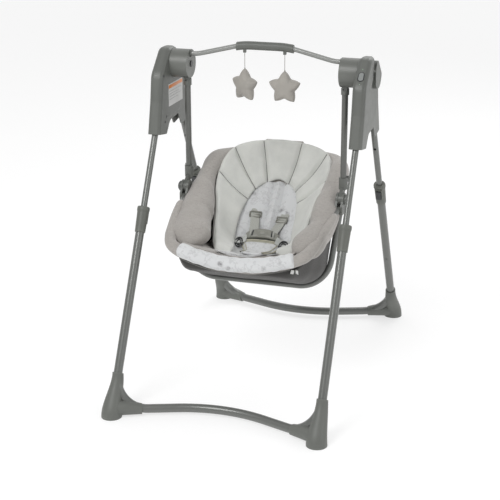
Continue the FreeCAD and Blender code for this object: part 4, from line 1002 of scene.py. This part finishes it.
def crotch_pad():
    """The printed pad that rises from the seat to the buckle, with a double piping."""
    shape = np.array(CROTCH, float)
    rows, columns = 50, 41
    at = np.linspace(shape[0, 0], shape[-1, 0], rows)
    half = np.interp(at, shape[:, 0], shape[:, 1])
    rings, edge = [], []
    for row, y in enumerate(at):
        u = np.linspace(-1, 1, columns)
        climb = (row / (rows - 1)) ** 1.6
        ends = min(1.0, (min(row, rows - 1 - row) + 0.2) / 3) ** 0.5
        arch = 8.0 + 22.0 * climb * (1 - np.abs(u) ** 2.4)
        plump = 3.4 * ends * (1 - np.abs(u) ** 6) ** 0.5
        top = on_seat(u * half[row], y + 3.0 * np.abs(u) * climb, arch + plump)
        under = on_seat(u[::-1] * half[row], y + 3.0 * np.abs(u) * climb, arch - plump)
        rings.append(np.vstack((top, under[1:-1])))
        edge.append(top)
    pad = make_piece("crotch_cover", rings, "print_cloth", "seat")
    subdivide(pad)
    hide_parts("crotch_pad")
    edge = np.array(edge)
    for index, inset in enumerate((0, 3)):
        low, high = 1 + inset, rows - 2 - inset
        loop = [edge[row][inset] for row in range(low, high)]
        loop += [edge[high][column] for column in range(inset, columns - inset)]
        loop += [edge[row][columns - 1 - inset] for row in range(high - 1, low - 1, -1)]
        lifted = [place + np.array((0, -0.4, 0.9)) for place in loop]
        thread(f"crotch_piping_{index}", [lifted], 2.1 - 0.7 * index, "piping")


# ---------------------------------------------------------------- toys
def star(word, facing):
    """A plump star, sewn round its edge and hung by a small loop."""
    low, high = (np.array(corner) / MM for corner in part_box(word + "_star"))
    middle = (low + high) / 2
    outer = (high[2] - low[2]) * 0.645
    centre_z = high[2] + 1.0 - outer
    columns, layers = 140, 11
    turn = np.linspace(0, math.tau, columns, endpoint=False)
    wave = np.abs(2 * ((turn * STAR_POINTS / math.tau) % 1.0) - 1)
    radius = outer * (0.66 + 0.32 * wave**1.3)
    rings = []
    for layer in range(layers):
        tilt = math.pi * (layer + 0.5) / layers - math.pi / 2
        spread_out = radius * math.cos(tilt) ** 0.42
        dx, dy = spread_out * np.sin(turn), np.full(columns, STAR_HALF * math.sin(tilt))
        x = middle[0] + dx * math.cos(facing) - dy * math.sin(facing)
        y = middle[1] + dx * math.sin(facing) + dy * math.cos(facing)
        rings.append(np.stack((x, y, centre_z + spread_out * np.cos(turn)), axis=1))
    piece = make_piece(word + "_star_toy", rings, "star_cloth", word + "_toy")
    puff(piece, 5.0, 3.0, 2.2, 0.6)

    def seam(p):
        depth = -(p[:, 0] - middle[0]) * math.sin(facing) + (p[:, 1] - middle[1]) * math.cos(facing)
        pucker = 0.25 * np.sin(np.arctan2(p[:, 0] - middle[0], p[:, 2] - centre_z) * 60)
        return (-1.0 + pucker) * np.exp(-(depth / 1.3) ** 2)

    displace(piece, seam)
    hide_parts(word + "_star")
    torus(word + "_star_loop", 2.4, 0.8, (28, 10), (middle[0], middle[1], high[2] - 2.2),
          (math.pi / 2, 0, math.pi / 2), (1, 1, 1), "string", word + "_toy")


def toy_string(word):
    """The cord from the bar's lug to the star, taut under the star's weight."""
    low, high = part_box(word + "_toy_string")
    centre = (low + high) / 2
    curve = round_curve(word + "_string_cord", (high.x - low.x) / 2, 4, "string")
    spline = curve.splines.new("NURBS")
    spline.points.add(3)
    for index, point in enumerate(spline.points):
        point.co = (centre.x, centre.y, high.z + (low.z - high.z) * index / 3, 1)
    spline.order_u = 3
    spline.use_endpoint_u = True
    piece = placed(word + "_string_cord", curve)
    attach(piece, word + "_string")
    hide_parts(word + "_toy_string")


# ---------------------------------------------------------------- small pieces
def label_bands():
    """A blank label: one band of colour over plain rules."""
    low, high = (np.array(corner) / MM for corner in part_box("label_panel"))
    bands = [("label_band", 2, 2, 3, 12, "label_band")]
    for index, short in enumerate((8, 26, 14, 34)):
        bands.append((f"label_rule_{index}", 6, short, 19 + 7 * index, 20.4 + 7 * index, "label_rule"))
    for name, near, far, top, bottom, material in bands:
        y0, y1, z0, z1 = low[1] + near, high[1] - far, high[2] - bottom, high[2] - top
        half = (0.2, (y1 - y0) / 2, (z1 - z0) / 2)
        place = (high[0] + 0.15, (y0 + y1) / 2, (z0 + z1) / 2)
        rounded_block(name, half, place, (0, 0, 0), material, "front_frame", bevel=0.1, cuts=1)


def tag():
    """Two small blank white tabs at the front right of the seat."""
    for index, (x, turn) in enumerate(((146, 0.25), (157, -0.35))):
        rounded_block(f"tab_{index}", (4.2, 0.5, 6.5), (x, -248 + 2 * index, 359), (0.35, 0.15, turn), "tag",
                      bevel=0.4, cuts=2)


for hand, facing in (("left", STAR_TURN), ("right", 0.0)):
    toy_string(hand)
    star(hand, facing)
liner()
panel()
seat_floor()
bolster()
front_roll()
front_hem()
sling()
harness()
buckle()
crotch_pad()
label_bands()
tag()
